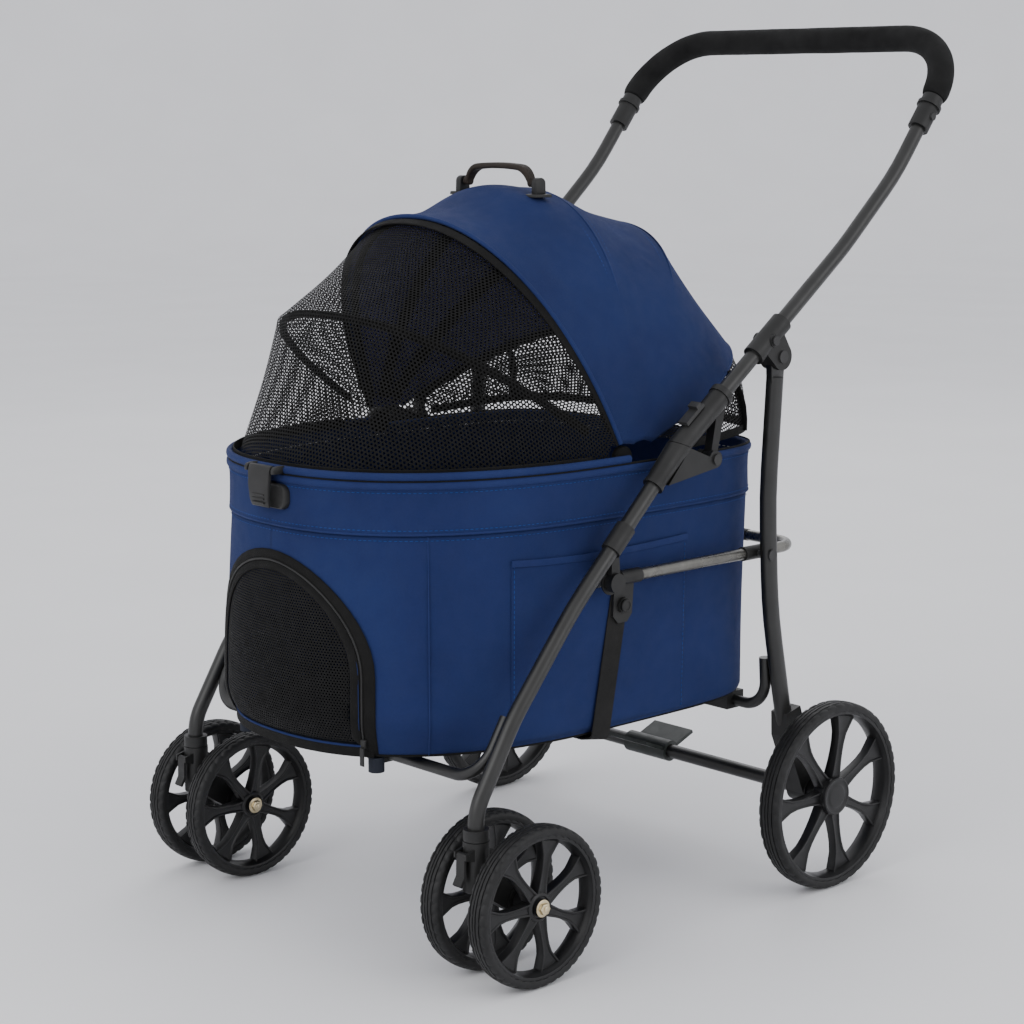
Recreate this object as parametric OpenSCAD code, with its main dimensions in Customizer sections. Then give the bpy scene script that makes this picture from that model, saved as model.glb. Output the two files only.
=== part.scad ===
// Folding pet stroller: two side frames, a lift-off fabric carrier with a hood,
// twin-wheel front casters, large rear wheels and a hoop handle with a foam grip.
// X runs across, the front faces -Y and +Z is up, with the floor at Z = 0.
// The side outlines below are [y, z] points, with y counted from the caster stems.

/* [Side frames] */
// Half the distance between the two side frames
side_x = 228; // [190:1:275]
// Radius of the legs and of the handle tubes
tube_r = 8; // [6.6:0.1:9.6]
// Wall of every steel tube
tube_wall = 1.5; // [1:0.1:2.5]
// Radius of the side bar and of the cross tubes
bar_r = 6; // [5:0.1:7.2]
// Width of the flat-oval rear leg, front to back
rear_leg_w = 19; // [16:0.5:22]

/* [Wheels] */
// Radius of each front wheel
front_wheel_r = 80; // [66:1:96]
// Width of each front wheel
front_wheel_w = 24; // [20:1:27]
// Half the distance between the two wheels of a caster
twin_x = 34; // [30:1:40]
// How far the front wheels trail behind their stem
caster_trail = 46; // [38:1:55]
// Radius of each rear wheel
rear_wheel_r = 102; // [85:1:122]
// Width of each rear wheel
rear_wheel_w = 26; // [22:1:31]
// Number of spokes in every wheel
spokes = 7; // [5:1:9]

/* [Handle] */
// Reach of the hoop past the collars, along its slope
hoop_reach = 91; // [80:1:110]
// Radius of the two hoop corners
hoop_corner = 82; // [60:1:98]
// Outer radius of the foam grip
grip_r = 15; // [12:0.5:18]

/* [Carrier] */
// Height of the underside of the carrier
floor_z = 208; // [207:1:215]
// Height of the top edge of the basket wall
wall_top = 474; // [450:1:480]
// Thickness of the basket wall
wall_t = 3; // [2:0.5:5]
// Half the length of the basket
basket_half_l = 262; // [220:1:264]
// Half the width of the arched front door
door_half_w = 105; // [85:1:120]
// Height of the top of the door's arch
door_top = 398; // [340:1:420]

/* [Hood] */
// Height of the hood above its pivots at the middle bow
hood_h = 263; // [220:1:300]
// Thickness of the hood's fabric
hood_t = 2.5; // [1.5:0.5:3.5]
// Radius of the hood's bows
bow_r = 3; // [2:0.5:3.5]

/* [Fits] */
// Radial clearance of every running pin
run_gap = 0.05; // [0.02:0.01:0.1]
// Gap between two pieces that pass or face each other
part_gap = 0.6; // [0.4:0.1:1]

/* [Hidden] */
$fn = 48;

// Outlines of the side frame
foot_z = front_wheel_r + 70;
leg_pts = [[0, foot_z], [0, foot_z + 26], [48, 256], [128, 354], [264, 487.8]];
leg_bends = [55, 200, 400];
handle_pts = [[284, 505.3], [525, 686], [609.5, 761.1], [668, 836]];
handle_bends = [400, 300];
handle_dir = 36.86;
hoop_base = [668, 836];
hoop_angle = 52;
hoop_bend = min(hoop_corner, hoop_reach - 9);
hub = [419.5, 578];
hub_tube = [404.7, 595.8];
knuckle = [320, 481];
seam_dir = 157.9;
bar_rear = [410, 370];
bar_front = [188, 370];
axle = [481, rear_wheel_r];
rear_leg_pts = [[419, 556], [411, 430], [418, 310], [440, 205], [axle.x - 32, axle.y + 66]];
rear_leg_bends = [500, 500, 250];
leg_dir = 44.5;
saddle = [189, 414];

// Thicknesses and places across the frame, from the outside in
rear_leg_t = 2 * tube_r;
casting_half = tube_r + 5;
sleeve_r = tube_r + 3.4;
ear_half = tube_r + 2;
bar_x = side_x - tube_r - bar_r - 3;
cross_x = side_x - tube_r - bar_r;
strap_t = 1.5;
strap_x = bar_x - bar_r - 3.2 - strap_t / 2;
basket_x = strap_x - strap_t / 2 - 0.8;
bracket_t = 1.4;
bar_bend = 30;
bar_back = 481;

// Places on the wheels
front_axle = [caster_trail, front_wheel_r];
wheel_hub_in = 11.2;
fork_half = wheel_hub_in - 0.7;
wheel_hub_out = twin_x + 9;
rear_wheel_x = side_x + casting_half + 21;
axle_end = rear_wheel_x + 7;
tyre_t = 10;
rim_t = 6;
bolt_r = 4;
axle_r = 5;
stem_pin_r = 5;
stem_pin_l = 42;
lock_hinge = [-17, foot_z - 14];

// The carrier
basket_y = 200;
front_bulge = 2.3;
rear_bulge = 6;
rim_h = 8;
rim_out = 5;
board_t = 4.5;
cloth_t = 2;
door_sill = floor_z + 12;
hem = 5;
foot_x = 105;
foot_l = 15;
front_face = basket_y - basket_half_l;
door_gap = 1.5;
outline_steps = 72;
pivot_y = 232;
ring_z = wall_top + rim_h + 0.5;
ring_h = 8;
pivot_z = ring_z + ring_h / 2;
canopy_w = basket_x - 4;
hood_front_a = 115;
hood_rear_a = 22;
mesh_bow_a = 147;
buckle_hinge = [front_face - rim_out - 7, ring_z + ring_h / 2];
loop_y = 241;
loop_z = pivot_z + hood_h + 6;

// Radius and squareness of the canopy at each angle about its pivots; 0 is rearward
canopy_r = [[0, basket_half_l - 38], [22, hood_h + 9], [52, hood_h + 20], [80, hood_h + 3],
    [115, hood_h - 1], [147, hood_h + 9], [180, basket_half_l + 24]];
canopy_n = [[0, 4], [22, 2.4], [52, 2.1], [80, 2.05], [115, 2.15], [147, 2.4], [180, 2.3]];

// The origin lies under the middle of the stroller's length
rear_most = hoop_base.x + hoop_reach * cos(hoop_angle) + grip_r;
front_most = buckle_hinge.x - 4;
mid_y = (rear_most + front_most) / 2;

steel = "#2b2b28";
plastic = "#1c1c1c";
cloth = "#1d3c7c";
zinc = "#b3a77f";

// ---------- helpers ----------

module from_stem() { translate([0, -mid_y, 0]) children(); }
module on_side(s) { mirror([s < 0 ? 1 : 0, 0, 0]) children(); }
module both_sides() { for (s = [-1, 1]) on_side(s) children(); }

// Stands a [y, z] outline up at x0 and gives it thickness up to x1
module plate(x0, x1) {
    translate([x0, 0, 0]) rotate([90, 0, 90]) linear_extrude(x1 - x0) children();
}

module rod(p, r, x0, x1) {
    translate([x0, p.x, p.y]) rotate([0, 90, 0]) cylinder(r = r, h = x1 - x0);
}

module tube_section(r) {
    difference() {
        circle(r);
        circle(r - tube_wall);
    }
}

module oval_section(w, t) {
    for (e = [-1, 1]) translate([e * (w - t) / 2, 0]) circle(t / 2);
    square([w - t, t], center = true);
}

function unit(v) = v / norm(v);
function turn(p, i) = let (a = p[i] - p[i - 1], b = p[i + 1] - p[i])
    atan2(a.x * b.y - a.y * b.x, a.x * b.x + a.y * b.y);
function tangent(p, bends, i) = i == 0 || i == len(p) - 1 ? 0
    : bends[i - 1] * tan(abs(turn(p, i)) / 2);

// Sweeps a section along a flat path of straights joined by round bends
module sweep(p, bends) {
    for (i = [0:len(p) - 2]) {
        d = unit(p[i + 1] - p[i]);
        start = p[i] + d * tangent(p, bends, i);
        l = norm(p[i + 1] - p[i]) - tangent(p, bends, i) - tangent(p, bends, i + 1);
        translate(start) rotate([0, 0, atan2(d.y, d.x)]) rotate([90, 0, 90])
            linear_extrude(l) children();
    }
    for (i = [1:1:len(p) - 2]) {
        a = turn(p, i);
        d = unit(p[i] - p[i - 1]);
        n = a > 0 ? [-d.y, d.x] : [d.y, -d.x];
        start = p[i] - d * tangent(p, bends, i);
        translate(start + n * bends[i - 1])
            rotate([0, 0, atan2(-n.y, -n.x) + min(a, 0)])
            rotate_extrude(angle = abs(a)) translate([bends[i - 1], 0]) children();
    }
}

// Puts a flat [x, t] path into the plane that rises from point p at an angle
module rising(p, angle) { translate([0, p.x, p.y]) rotate([angle, 0, 0]) children(); }

module side_sweep(p, bends) {
    translate([side_x, 0, 0]) rotate([90, 0, 90]) sweep(p, bends) children();
}

function heading(p, i) = atan2(p[i + 1].y - p[i].y, p[i + 1].x - p[i].x);

// Stations [y, z, heading] along the same kind of path
function stations(p, bends) = concat(
    [[p[0].x, p[0].y, heading(p, 0)]],
    [for (i = [1:1:len(p) - 2]) let (a = turn(p, i), steps = ceil(abs(a) / 8),
        d = unit(p[i] - p[i - 1]), n = (a > 0 ? 1 : -1) * [-d.y, d.x],
        mid = p[i] - d * tangent(p, bends, i) + n * bends[i - 1])
        for (k = [0:steps]) let (h = heading(p, i - 1) + a * k / steps,
            q = mid + (a > 0 ? 1 : -1) * bends[i - 1] * [sin(h), -cos(h)]) [q.x, q.y, h]],
    [[p[len(p) - 1].x, p[len(p) - 1].y, heading(p, len(p) - 2)]]);

// A bent tube in the side frame's plane
module side_tube(p, bends, r) {
    sides = 16;
    st = stations(p, bends);
    n = len(st);
    hollow = n * sides;
    last = (n - 1) * sides;
    function next(k) = (k + 1) % sides;
    polyhedron([for (q = [r, r - tube_wall], s = st, k = [0:sides - 1])
        let (c = k * 360 / sides)
            [side_x - q * sin(c), s.x - q * cos(c) * sin(s.z), s.y + q * cos(c) * cos(s.z)]],
        concat(
            [for (i = [0:n - 2], k = [0:sides - 1]) let (a = i * sides + k,
                b = i * sides + next(k)) [a, b, b + sides, a + sides]],
            [for (i = [0:n - 2], k = [0:sides - 1]) let (a = hollow + i * sides + k,
                b = hollow + i * sides + next(k)) [a, a + sides, b + sides, b]],
            [for (k = [0:sides - 1]) [k, hollow + k, hollow + next(k), next(k)]],
            [for (k = [0:sides - 1]) [last + k, last + next(k), last + hollow + next(k),
                last + hollow + k]]));
}

function u_path(half, top, bottom) = [[half, top], [half, bottom], [-half, bottom], [-half, top]];

// ---------- rear frame ----------

module rear_leg() {
    difference() {
        union() {
            side_sweep(rear_leg_pts, rear_leg_bends) difference() {
                oval_section(rear_leg_w, rear_leg_t);
                oval_section(rear_leg_w - 2 * tube_wall, rear_leg_t - 2 * tube_wall);
            }
            plate(side_x - 4, side_x + 4) {
                translate(hub) circle(11);
                polygon([hub + [-5.5, 0], hub + [5.5, 0], [426, 548], [412, 548]]);
            }
        }
        rod(hub, bolt_r + run_gap, side_x - 5, side_x + 5);
        rod(bar_rear, 3, side_x - 20, side_x + 20);
    }
}

module rear_leg_left() color(steel) from_stem() on_side(-1) rear_leg();
module rear_leg_right() color(steel) from_stem() on_side(1) rear_leg();

module rear_axle() color(steel) from_stem() {
    rod(axle, tube_r, casting_half - side_x, side_x - casting_half);
    both_sides() rod(axle, axle_r, side_x - casting_half, axle_end);
}

module axle_shoes() color(plastic) from_stem() both_sides() {
    foot = rear_leg_pts[4];
    difference() {
        union() {
            rod(axle, 15, side_x - casting_half, side_x + casting_half);
            plate(side_x - casting_half + 2, side_x + casting_half - 2) polygon([
                foot + [-13, 26], foot + [9, 32], foot + [20, 2], axle + [11, 10],
                axle + [-2, -14], axle + [-14, -4], foot + [-12, 0]]);
        }
        side_sweep(rear_leg_pts, rear_leg_bends) oval_section(rear_leg_w, rear_leg_t);
        rod(axle, axle_r, 0, axle_end);
    }
}

module rear_cross_tube() color(steel) from_stem()
    rising([431, floor_z - bar_r - 4], 94)
    sweep(u_path(cross_x, 56, 0), [30, 30]) tube_section(bar_r);

module rear_tube_clips() color(plastic) from_stem() for (s = [-1, 1])
    translate([s * 150, 431, floor_z - bar_r - 4]) difference() {
        translate([-20, -13, -8.5]) cube([40, 26, bar_r + 4 + 8.5]);
        rotate([0, 90, 0]) cylinder(r = bar_r, h = 60, center = true);
    }

module bar_pivot_pins() color(zinc) from_stem() both_sides() {
    rod(bar_rear, 3, bar_x - bar_r - 1, side_x + tube_r + 2);
    difference() {
        rod(bar_rear, 6, side_x + tube_r, side_x + tube_r + 2);
        rod(bar_rear, 3, side_x + tube_r, side_x + tube_r + 2);
    }
}

module brake_pedal() color("#5b6660") from_stem() difference() {
    union() {
        rod(axle, tube_r + 4, -36, 28);
        for (s = [-1, 1]) plate(-34, 26) translate(axle) rotate(s < 0 ? 158 : 22)
            translate([tube_r, -2]) square([34, 4]);
    }
    rod(axle, tube_r + run_gap, -40, 40);
}

// ---------- wheels ----------

function tyre_side(r, w) = [for (i = [-5:5]) [r - 3.5 * pow(i / 5, 2), i / 5 * w / 2]];

module tyre(r, w) {
    rotate([0, 90, 0]) rotate_extrude($fn = 96)
        polygon(concat([[r - tyre_t, -w / 2]], tyre_side(r, w), [[r - tyre_t, w / 2]]));
}

module rim(r, w, hub_in, hub_out, hub_r) {
    outer = r - tyre_t;
    root = min(5, (hub_r - 1) * sin(180 / spokes));
    rotate([0, 90, 0]) {
        difference() {
            cylinder(r = outer, h = w - 4, center = true, $fn = 96);
            cylinder(r = outer - rim_t, h = w, center = true, $fn = 96);
        }
        translate([0, 0, hub_in]) cylinder(r = hub_r, h = hub_out - hub_in);
        for (i = [0:spokes - 1]) rotate((i + 0.5) * 360 / spokes) translate([0, 0, -4])
            linear_extrude(8) polygon([[hub_r - 3, -root], [outer - rim_t + 2, -4.5],
                [outer - rim_t + 2, 4.5], [hub_r - 3, root]]);
    }
}

module rear_tyre() translate([rear_wheel_x, axle.x, axle.y]) tyre(rear_wheel_r, rear_wheel_w);

module rear_rim() difference() {
    union() {
        translate([rear_wheel_x, axle.x, axle.y])
            rim(rear_wheel_r, rear_wheel_w, -20.4, 8, 15);
        rod(axle, 21, rear_wheel_x + 8, rear_wheel_x + 12);
    }
    rod(axle, axle_r + run_gap, side_x, axle_end + part_gap);
}

module rear_tyre_left() color("#222222") from_stem() on_side(-1) rear_tyre();
module rear_tyre_right() color("#222222") from_stem() on_side(1) rear_tyre();
module rear_rim_left() color(plastic) from_stem() on_side(-1) rear_rim();
module rear_rim_right() color(plastic) from_stem() on_side(1) rear_rim();

// Places one front wheel; side and way are -1 or 1, and way 1 is the outer wheel
module front_wheel(side, way) {
    on_side(side) translate([side_x, front_axle.x, front_axle.y]) on_side(way)
        translate([twin_x, 0, 0]) children();
}

module front_tyre(side, way) color("#222222") from_stem()
    front_wheel(side, way) tyre(front_wheel_r, front_wheel_w);

module front_rim(side, way) color(plastic) from_stem() front_wheel(side, way) difference() {
    rim(front_wheel_r, front_wheel_w, wheel_hub_in - twin_x, wheel_hub_out - twin_x, 12);
    rod([0, 0], bolt_r + run_gap, -twin_x, twin_x);
}

module front_tyre_left_outer() front_tyre(-1, 1);
module front_tyre_left_inner() front_tyre(-1, -1);
module front_tyre_right_inner() front_tyre(1, -1);
module front_tyre_right_outer() front_tyre(1, 1);
module front_rim_left_outer() front_rim(-1, 1);
module front_rim_left_inner() front_rim(-1, -1);
module front_rim_right_inner() front_rim(1, -1);
module front_rim_right_outer() front_rim(1, 1);

// ---------- front frame ----------

module front_leg() side_tube(leg_pts, leg_bends, tube_r);
module front_leg_left() color(steel) from_stem() on_side(-1) front_leg();
module front_leg_right() color(steel) from_stem() on_side(1) front_leg();

// The two pads clipped to this tube carry the front of the basket
module front_cross_tube() color(steel) from_stem() {
    tube_z = floor_z - bar_r - 3;
    rising([17, tube_z], 58.3)
        sweep(u_path(cross_x, 66, 0), [35, 35]) tube_section(bar_r);
    for (s = [-1, 1]) translate([s * 70, 17, tube_z]) difference() {
        translate([-14, -11, -8]) cube([28, 22, bar_r + 3 + 8]);
        rotate([0, 90, 0]) cylinder(r = bar_r, h = 60, center = true);
    }
}

module caster_collars() color(plastic) from_stem() both_sides() translate([side_x, 0, 0]) {
    translate([0, 0, foot_z - 2]) difference() {
        cylinder(r = tube_r + 4.5, h = 11);
        translate([0, 0, 2]) cylinder(r = tube_r, h = 10);
    }
    translate([0, 0, foot_z - 2 - stem_pin_l]) cylinder(r = stem_pin_r, h = stem_pin_l);
}

module caster_fork() {
    top = foot_z - 2 - part_gap;
    difference() {
        union() {
            translate([side_x, 0, foot_z - 52]) cylinder(r = 13, h = top - foot_z + 52);
            plate(side_x - 9, side_x + 9) polygon([[-9, foot_z - 50], [2, foot_z - 56],
                front_axle + [-6, -12], front_axle + [11, 6], [14, foot_z - 12], [0, foot_z - 8]]);
            rod(front_axle, 13, side_x - fork_half, side_x + fork_half);
            for (e = [-8.8, 6.4]) plate(side_x + e, side_x + e + 2.4)
                polygon([lock_hinge + [-3.5, -3], lock_hinge + [8, -6],
                    lock_hinge + [8, 6], lock_hinge + [-3.5, 3]]);
        }
        translate([side_x, 0, foot_z - 2 - stem_pin_l - part_gap])
            cylinder(r = stem_pin_r + run_gap, h = stem_pin_l + 10);
        rod(front_axle, bolt_r, side_x - 20, side_x + 20);
        rod(lock_hinge, 1.5 + run_gap, side_x - 10, side_x + 10);
    }
}

module caster_fork_left() color(plastic) from_stem() on_side(-1) caster_fork();
module caster_fork_right() color(plastic) from_stem() on_side(1) caster_fork();

module caster_bolt() {
    out = wheel_hub_out + part_gap;
    rod(front_axle, bolt_r, side_x - out, side_x + out);
    for (x = [side_x - out - 3, side_x + out]) rod(front_axle, 7, x, x + 3);
}

module caster_bolt_left() color(zinc) from_stem() on_side(-1) caster_bolt();
module caster_bolt_right() color(zinc) from_stem() on_side(1) caster_bolt();

module swivel_lock() {
    rod(lock_hinge, 1.5, side_x - 8.8, side_x + 8.8);
    rod(lock_hinge, 3, side_x - 5.8, side_x + 5.8);
    plate(side_x - 5.8, side_x + 5.8) polygon([lock_hinge + [-3, 0], lock_hinge + [-0.5, 0],
        lock_hinge + [-0.8, -22], lock_hinge + [-6, -30], lock_hinge + [-8, -28],
        lock_hinge + [-3.5, -20]]);
}

module swivel_lock_left() color(plastic) from_stem() on_side(-1) swivel_lock();
module swivel_lock_right() color(plastic) from_stem() on_side(1) swivel_lock();

// The half plane on the handle's side of the seam, which runs straight out from the pivot
module above_seam(gap) { translate(knuckle) rotate(seam_dir) translate([-60, -160 - gap / 2])
    square([240, 160]); }
module below_seam(gap) { translate(knuckle) rotate(seam_dir) translate([-60, gap / 2])
    square([240, 160]); }

module knuckle_sockets() color(plastic) from_stem() both_sides() difference() {
    union() {
        translate([side_x, 237, 461.2]) rotate([leg_dir - 90, 0, 0]) {
            cylinder(r1 = tube_r + 2, r2 = tube_r + 5, h = 72);
            cylinder(r = tube_r + 3, h = 4);
        }
        plate(side_x - ear_half, side_x + ear_half)
            polygon([[250, 462], [302, 470], [304, 486], [281, 496]]);
        for (e = [-ear_half, 5.6]) plate(side_x + e, side_x + e + ear_half - 5.6) {
            translate(knuckle) circle(8.5);
            polygon([[262, 463.6], knuckle + [1, -8.5], knuckle + [0, 8.5], [281, 496]]);
        }
    }
    side_sweep(leg_pts, leg_bends) circle(tube_r);
    plate(side_x - 30, side_x + 30) difference() {
        above_seam(-part_gap);
        translate(knuckle) circle(10.5);
    }
    rod(knuckle, 3.5, side_x - 30, side_x + 30);
}

module knuckle_pins() color(zinc) from_stem() both_sides() {
    rod(knuckle, 3.5, side_x - ear_half - 2, side_x + ear_half + 2);
    for (x = [side_x - ear_half - 2, side_x + ear_half]) difference() {
        rod(knuckle, 5.5, x, x + 2);
        rod(knuckle, 3.5, x, x + 2);
    }
}

// Clamped to the front leg; its plate faces the side bar's front end
module front_brackets() color(plastic) from_stem() both_sides() {
    plate_x = side_x - tube_r - bracket_t;
    difference() {
        translate([side_x, saddle.x, saddle.y]) rotate([leg_dir - 90, 0, 0])
            cylinder(r = tube_r + 2.4, h = 30, center = true);
        side_sweep(leg_pts, leg_bends) circle(tube_r);
    }
    difference() {
        union() {
            plate(plate_x, side_x - tube_r) {
                translate(bar_front) circle(13);
                polygon([bar_front + [-13, 0], bar_front + [13, 0], saddle + [9, -8],
                    saddle + [-9, -16]]);
            }
            rod(bar_front, 10, side_x - tube_r, side_x + 2);
            plate(side_x - tube_r, side_x - 2) polygon([bar_front + [-6, 0],
                bar_front + [6, 0], saddle + [3, -5], saddle + [-6, -12]]);
        }
        side_sweep(leg_pts, leg_bends) circle(tube_r);
        translate([side_x, saddle.x, saddle.y]) rotate([leg_dir - 90, 0, 0])
            cylinder(r = tube_r + 2.4, h = 30, center = true);
    }
}

// ---------- handle ----------

module handle_tube() side_tube(handle_pts, handle_bends, tube_r);
module handle_tube_left() color(steel) from_stem() on_side(-1) handle_tube();
module handle_tube_right() color(steel) from_stem() on_side(1) handle_tube();

module handle_hoop() color(steel) from_stem() rising(hoop_base, hoop_angle)
    sweep(u_path(side_x, part_gap, hoop_reach), [hoop_bend, hoop_bend])
    tube_section(tube_r);

module foam_grip() color("#161616") from_stem() rising(hoop_base, hoop_angle)
    sweep(u_path(side_x, 8, hoop_reach), [hoop_bend, hoop_bend]) difference() {
        circle(grip_r);
        circle(tube_r);
    }

// Places things along the top of the handle tube, t from the end of the tube
module at_collar(t) { rising(hoop_base, hoop_angle) translate([side_x, t, 0]) children(); }

module hoop_collars() color(plastic) from_stem() both_sides() difference() {
    at_collar(-34) rotate([-90, 0, 0]) {
        cylinder(r = tube_r + 3.6, h = 41);
        translate([0, 0, 28]) cylinder(r = tube_r + 5.6, h = 4);
    }
    at_collar(-40) rotate([-90, 0, 0]) cylinder(r = tube_r, h = 60);
    at_collar(-18) rotate([0, 90, 0]) cylinder(r = 4 + run_gap, h = 20);
}

module hoop_button() at_collar(-18) rotate([0, 90, 0]) translate([0, 0, tube_r + 2.5])
    cylinder(r = 4, h = 3);
module hoop_button_left() color("#3a3a3a") from_stem() on_side(-1) hoop_button();
module hoop_button_right() color("#3a3a3a") from_stem() on_side(1) hoop_button();

// A straight bore or sleeve on the handle tube; s runs up the tube from the knuckle's seam
module on_handle(s) translate([side_x, handle_pts[0].x + (s - 10.5) * cos(handle_dir),
    handle_pts[0].y + (s - 10.5) * sin(handle_dir)]) rotate([handle_dir - 90, 0, 0]) children();

module hub_casings() color(plastic) from_stem() both_sides() difference() {
    union() {
        on_handle(136) cylinder(r = sleeve_r, h = 54);
        plate(side_x - ear_half, side_x + ear_half) {
            translate(hub) circle(14);
            along = unit(hub_tube - hub);
            side = [-along.y, along.x];
            polygon([hub + side * 14, hub - side * 14, hub_tube - side * 17,
                hub_tube + side * 17]);
        }
        rod(hub_tube, 7, side_x - sleeve_r - 1, side_x + sleeve_r + 1);
    }
    on_handle(110) cylinder(r = tube_r, h = 110);
    plate(side_x - 5, side_x + 5) translate(hub) {
        circle(12.2);
        polygon([[0, 0], 34 * [cos(-125), sin(-125)], 48 * [cos(-70), sin(-70)],
            48 * [cos(-15), sin(-15)], 34 * [cos(20), sin(20)], 19 * [cos(56), sin(56)]]);
    }
    rod(hub, bolt_r, side_x - 30, side_x + 30);
}

module hub_rivets() color(zinc) from_stem() both_sides() {
    rod(hub, bolt_r, side_x - ear_half, side_x + ear_half);
    for (x = [side_x - ear_half - 2, side_x + ear_half]) rod(hub, 6.5, x, x + 2);
    for (x = [side_x - sleeve_r - 3, side_x + sleeve_r + 1]) rod(hub_tube, 5, x, x + 2);
}

// A sleeve on the foot of the handle tube, with the arm that reaches down to the pivot
module knuckle_uppers() color(plastic) from_stem() both_sides() difference() {
    union() {
        on_handle(-24) cylinder(r = sleeve_r, h = 102);
        on_handle(72) cylinder(r = sleeve_r + 1.2, h = 7);
        plate(side_x - 5, side_x + 5) {
            translate(knuckle) circle(8);
            polygon([knuckle + [-4, 0], knuckle + [5, 0], [340, 541], [326, 533]]);
        }
    }
    on_handle(0.5) cylinder(r = tube_r, h = 110);
    plate(side_x - 30, side_x + 30) difference() {
        below_seam(-part_gap);
        translate(knuckle) circle(20);
    }
    rod(knuckle, 3.5 + run_gap, side_x - 10, side_x + 10);
}

// Thumb latch that lies on the front of the knuckle's sleeve and slides up along it
module fold_latch() plate(side_x - 6, side_x + 6)
    translate([handle_pts[0].x, handle_pts[0].y]) rotate(handle_dir) {
        translate([6, sleeve_r + 0.4]) square([30, 4]);
        translate([26, sleeve_r + 0.4]) square([7, 8]);
    }
module fold_latch_left() color("#3a3a3a") from_stem() on_side(-1) fold_latch();
module fold_latch_right() color("#3a3a3a") from_stem() on_side(1) fold_latch();

// ---------- side bar and sling ----------

module side_bar() color("#6a6a62") from_stem() difference() {
    translate([0, 0, bar_rear.y]) sweep(u_path(bar_x, bar_front.x - 12, bar_back),
        [bar_bend, bar_bend]) tube_section(bar_r);
    rod(bar_rear, 3 + run_gap, -side_x, side_x);
}

module along_bar(y0, y1, r) translate([bar_x, y0, bar_rear.y]) rotate([-90, 0, 0])
    cylinder(r = r, h = y1 - y0);

// The sleeves at the rear pivots and the clips that carry the sling
module bar_fittings() color(plastic) from_stem() both_sides() {
    clip_x = strap_x + strap_t / 2 + 0.2;
    difference() {
        along_bar(bar_rear.x - 18, bar_rear.x + 18, bar_r + 1.5);
        along_bar(bar_rear.x - 20, bar_rear.x + 20, bar_r);
        rod(bar_rear, 3 + run_gap, 0, side_x);
    }
    difference() {
        union() {
            along_bar(208, 236, bar_r + 1.4);
            plate(clip_x, clip_x + 3) polygon([[208, 370], [236, 370], [233, 330], [226, 322],
                [213, 322], [206, 330]]);
            rod([220, 340], 8, clip_x + 3, clip_x + 6);
        }
        along_bar(200, 240, bar_r);
    }
}

module sling_strap() color("#181818") from_stem() rising([192, floor_z - 3.6], 79.4)
    sweep(u_path(strap_x, 152, 0), [6, 6]) square([strap_t, 25], center = true);

// ---------- carrier ----------

function power(v, n) = sign(v) * pow(abs(v), 2 / n);
function outline(grow) = [for (i = [0:outline_steps - 1])
    let (a = i * 360 / outline_steps, n = a > 180 ? front_bulge : rear_bulge)
    [(basket_x + grow) * power(cos(a), n),
        basket_y + (basket_half_l + grow) * power(sin(a), n)]];

module arch(half_w, sill, top) {
    translate([0, top - half_w]) intersection() {
        circle(half_w);
        translate([-half_w, 0]) square([2 * half_w, half_w]);
    }
    translate([-half_w, sill]) square([2 * half_w, top - half_w - sill]);
}

// Pushes an [x, z] outline back from the front of the basket
module through_front() translate([0, basket_y - 100, 0]) rotate([90, 0, 0])
    linear_extrude(basket_half_l) children();

module band(z0, z1, grow, t) translate([0, 0, z0]) linear_extrude(z1 - z0) difference() {
    polygon(outline(grow));
    polygon(outline(grow - t));
}

module slab(z0, t, grow) translate([0, 0, z0]) linear_extrude(t) polygon(outline(grow));

module basket() color(cloth) from_stem() difference() {
    union() {
        slab(floor_z, cloth_t, -hem);
        band(floor_z, floor_z + 10, -hem, wall_t);
        band(floor_z + 8, floor_z + 10, 0, wall_t + hem);
        band(floor_z + 8, wall_top, 0, wall_t);
        band(wall_top - 1, wall_top + rim_h, rim_out, wall_t + rim_out);
    }
    through_front() arch(door_half_w, door_sill, door_top);
}

// The stiff board that lies in the basket, with the feet screwed to it from below
module base_board() color("#20242c") from_stem() {
    slab(floor_z + cloth_t + 0.3, board_t, -hem - wall_t - 2);
    for (x = [-foot_x, foot_x], y = [-20, 400]) translate([x, y, floor_z - foot_l])
        cylinder(r = 8, h = foot_l);
}

module front_door() color("#141414") from_stem() intersection() {
    band(floor_z, wall_top, 0, wall_t);
    through_front() arch(door_half_w - door_gap, door_sill + door_gap, door_top - door_gap);
}

module buckle_base() color(plastic) from_stem()
    translate([-30, front_face - 7, wall_top - 26]) cube([60, 6.8, 22]);

module buckle_lever() color(plastic) from_stem() {
    rod(buckle_hinge, 1.5, -23, 23);
    rod(buckle_hinge, 4, -18, 18);
    plate(-18, 18) polygon([buckle_hinge + [-4, 0], buckle_hinge + [-1, 0],
        buckle_hinge + [-1, -34], buckle_hinge + [-4, -38]]);
}

// ---------- canopy ----------

// One point of the canopy: a about the pivots, t from one pivot over to the other
function canopy_point(a, t, inset) =
    let (n = lookup(a, canopy_n), h = (lookup(a, canopy_r) - inset) * power(sin(t), n))
    [(canopy_w - inset) * power(cos(t), n), pivot_y + h * cos(a), pivot_z + h * sin(a)];

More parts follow.
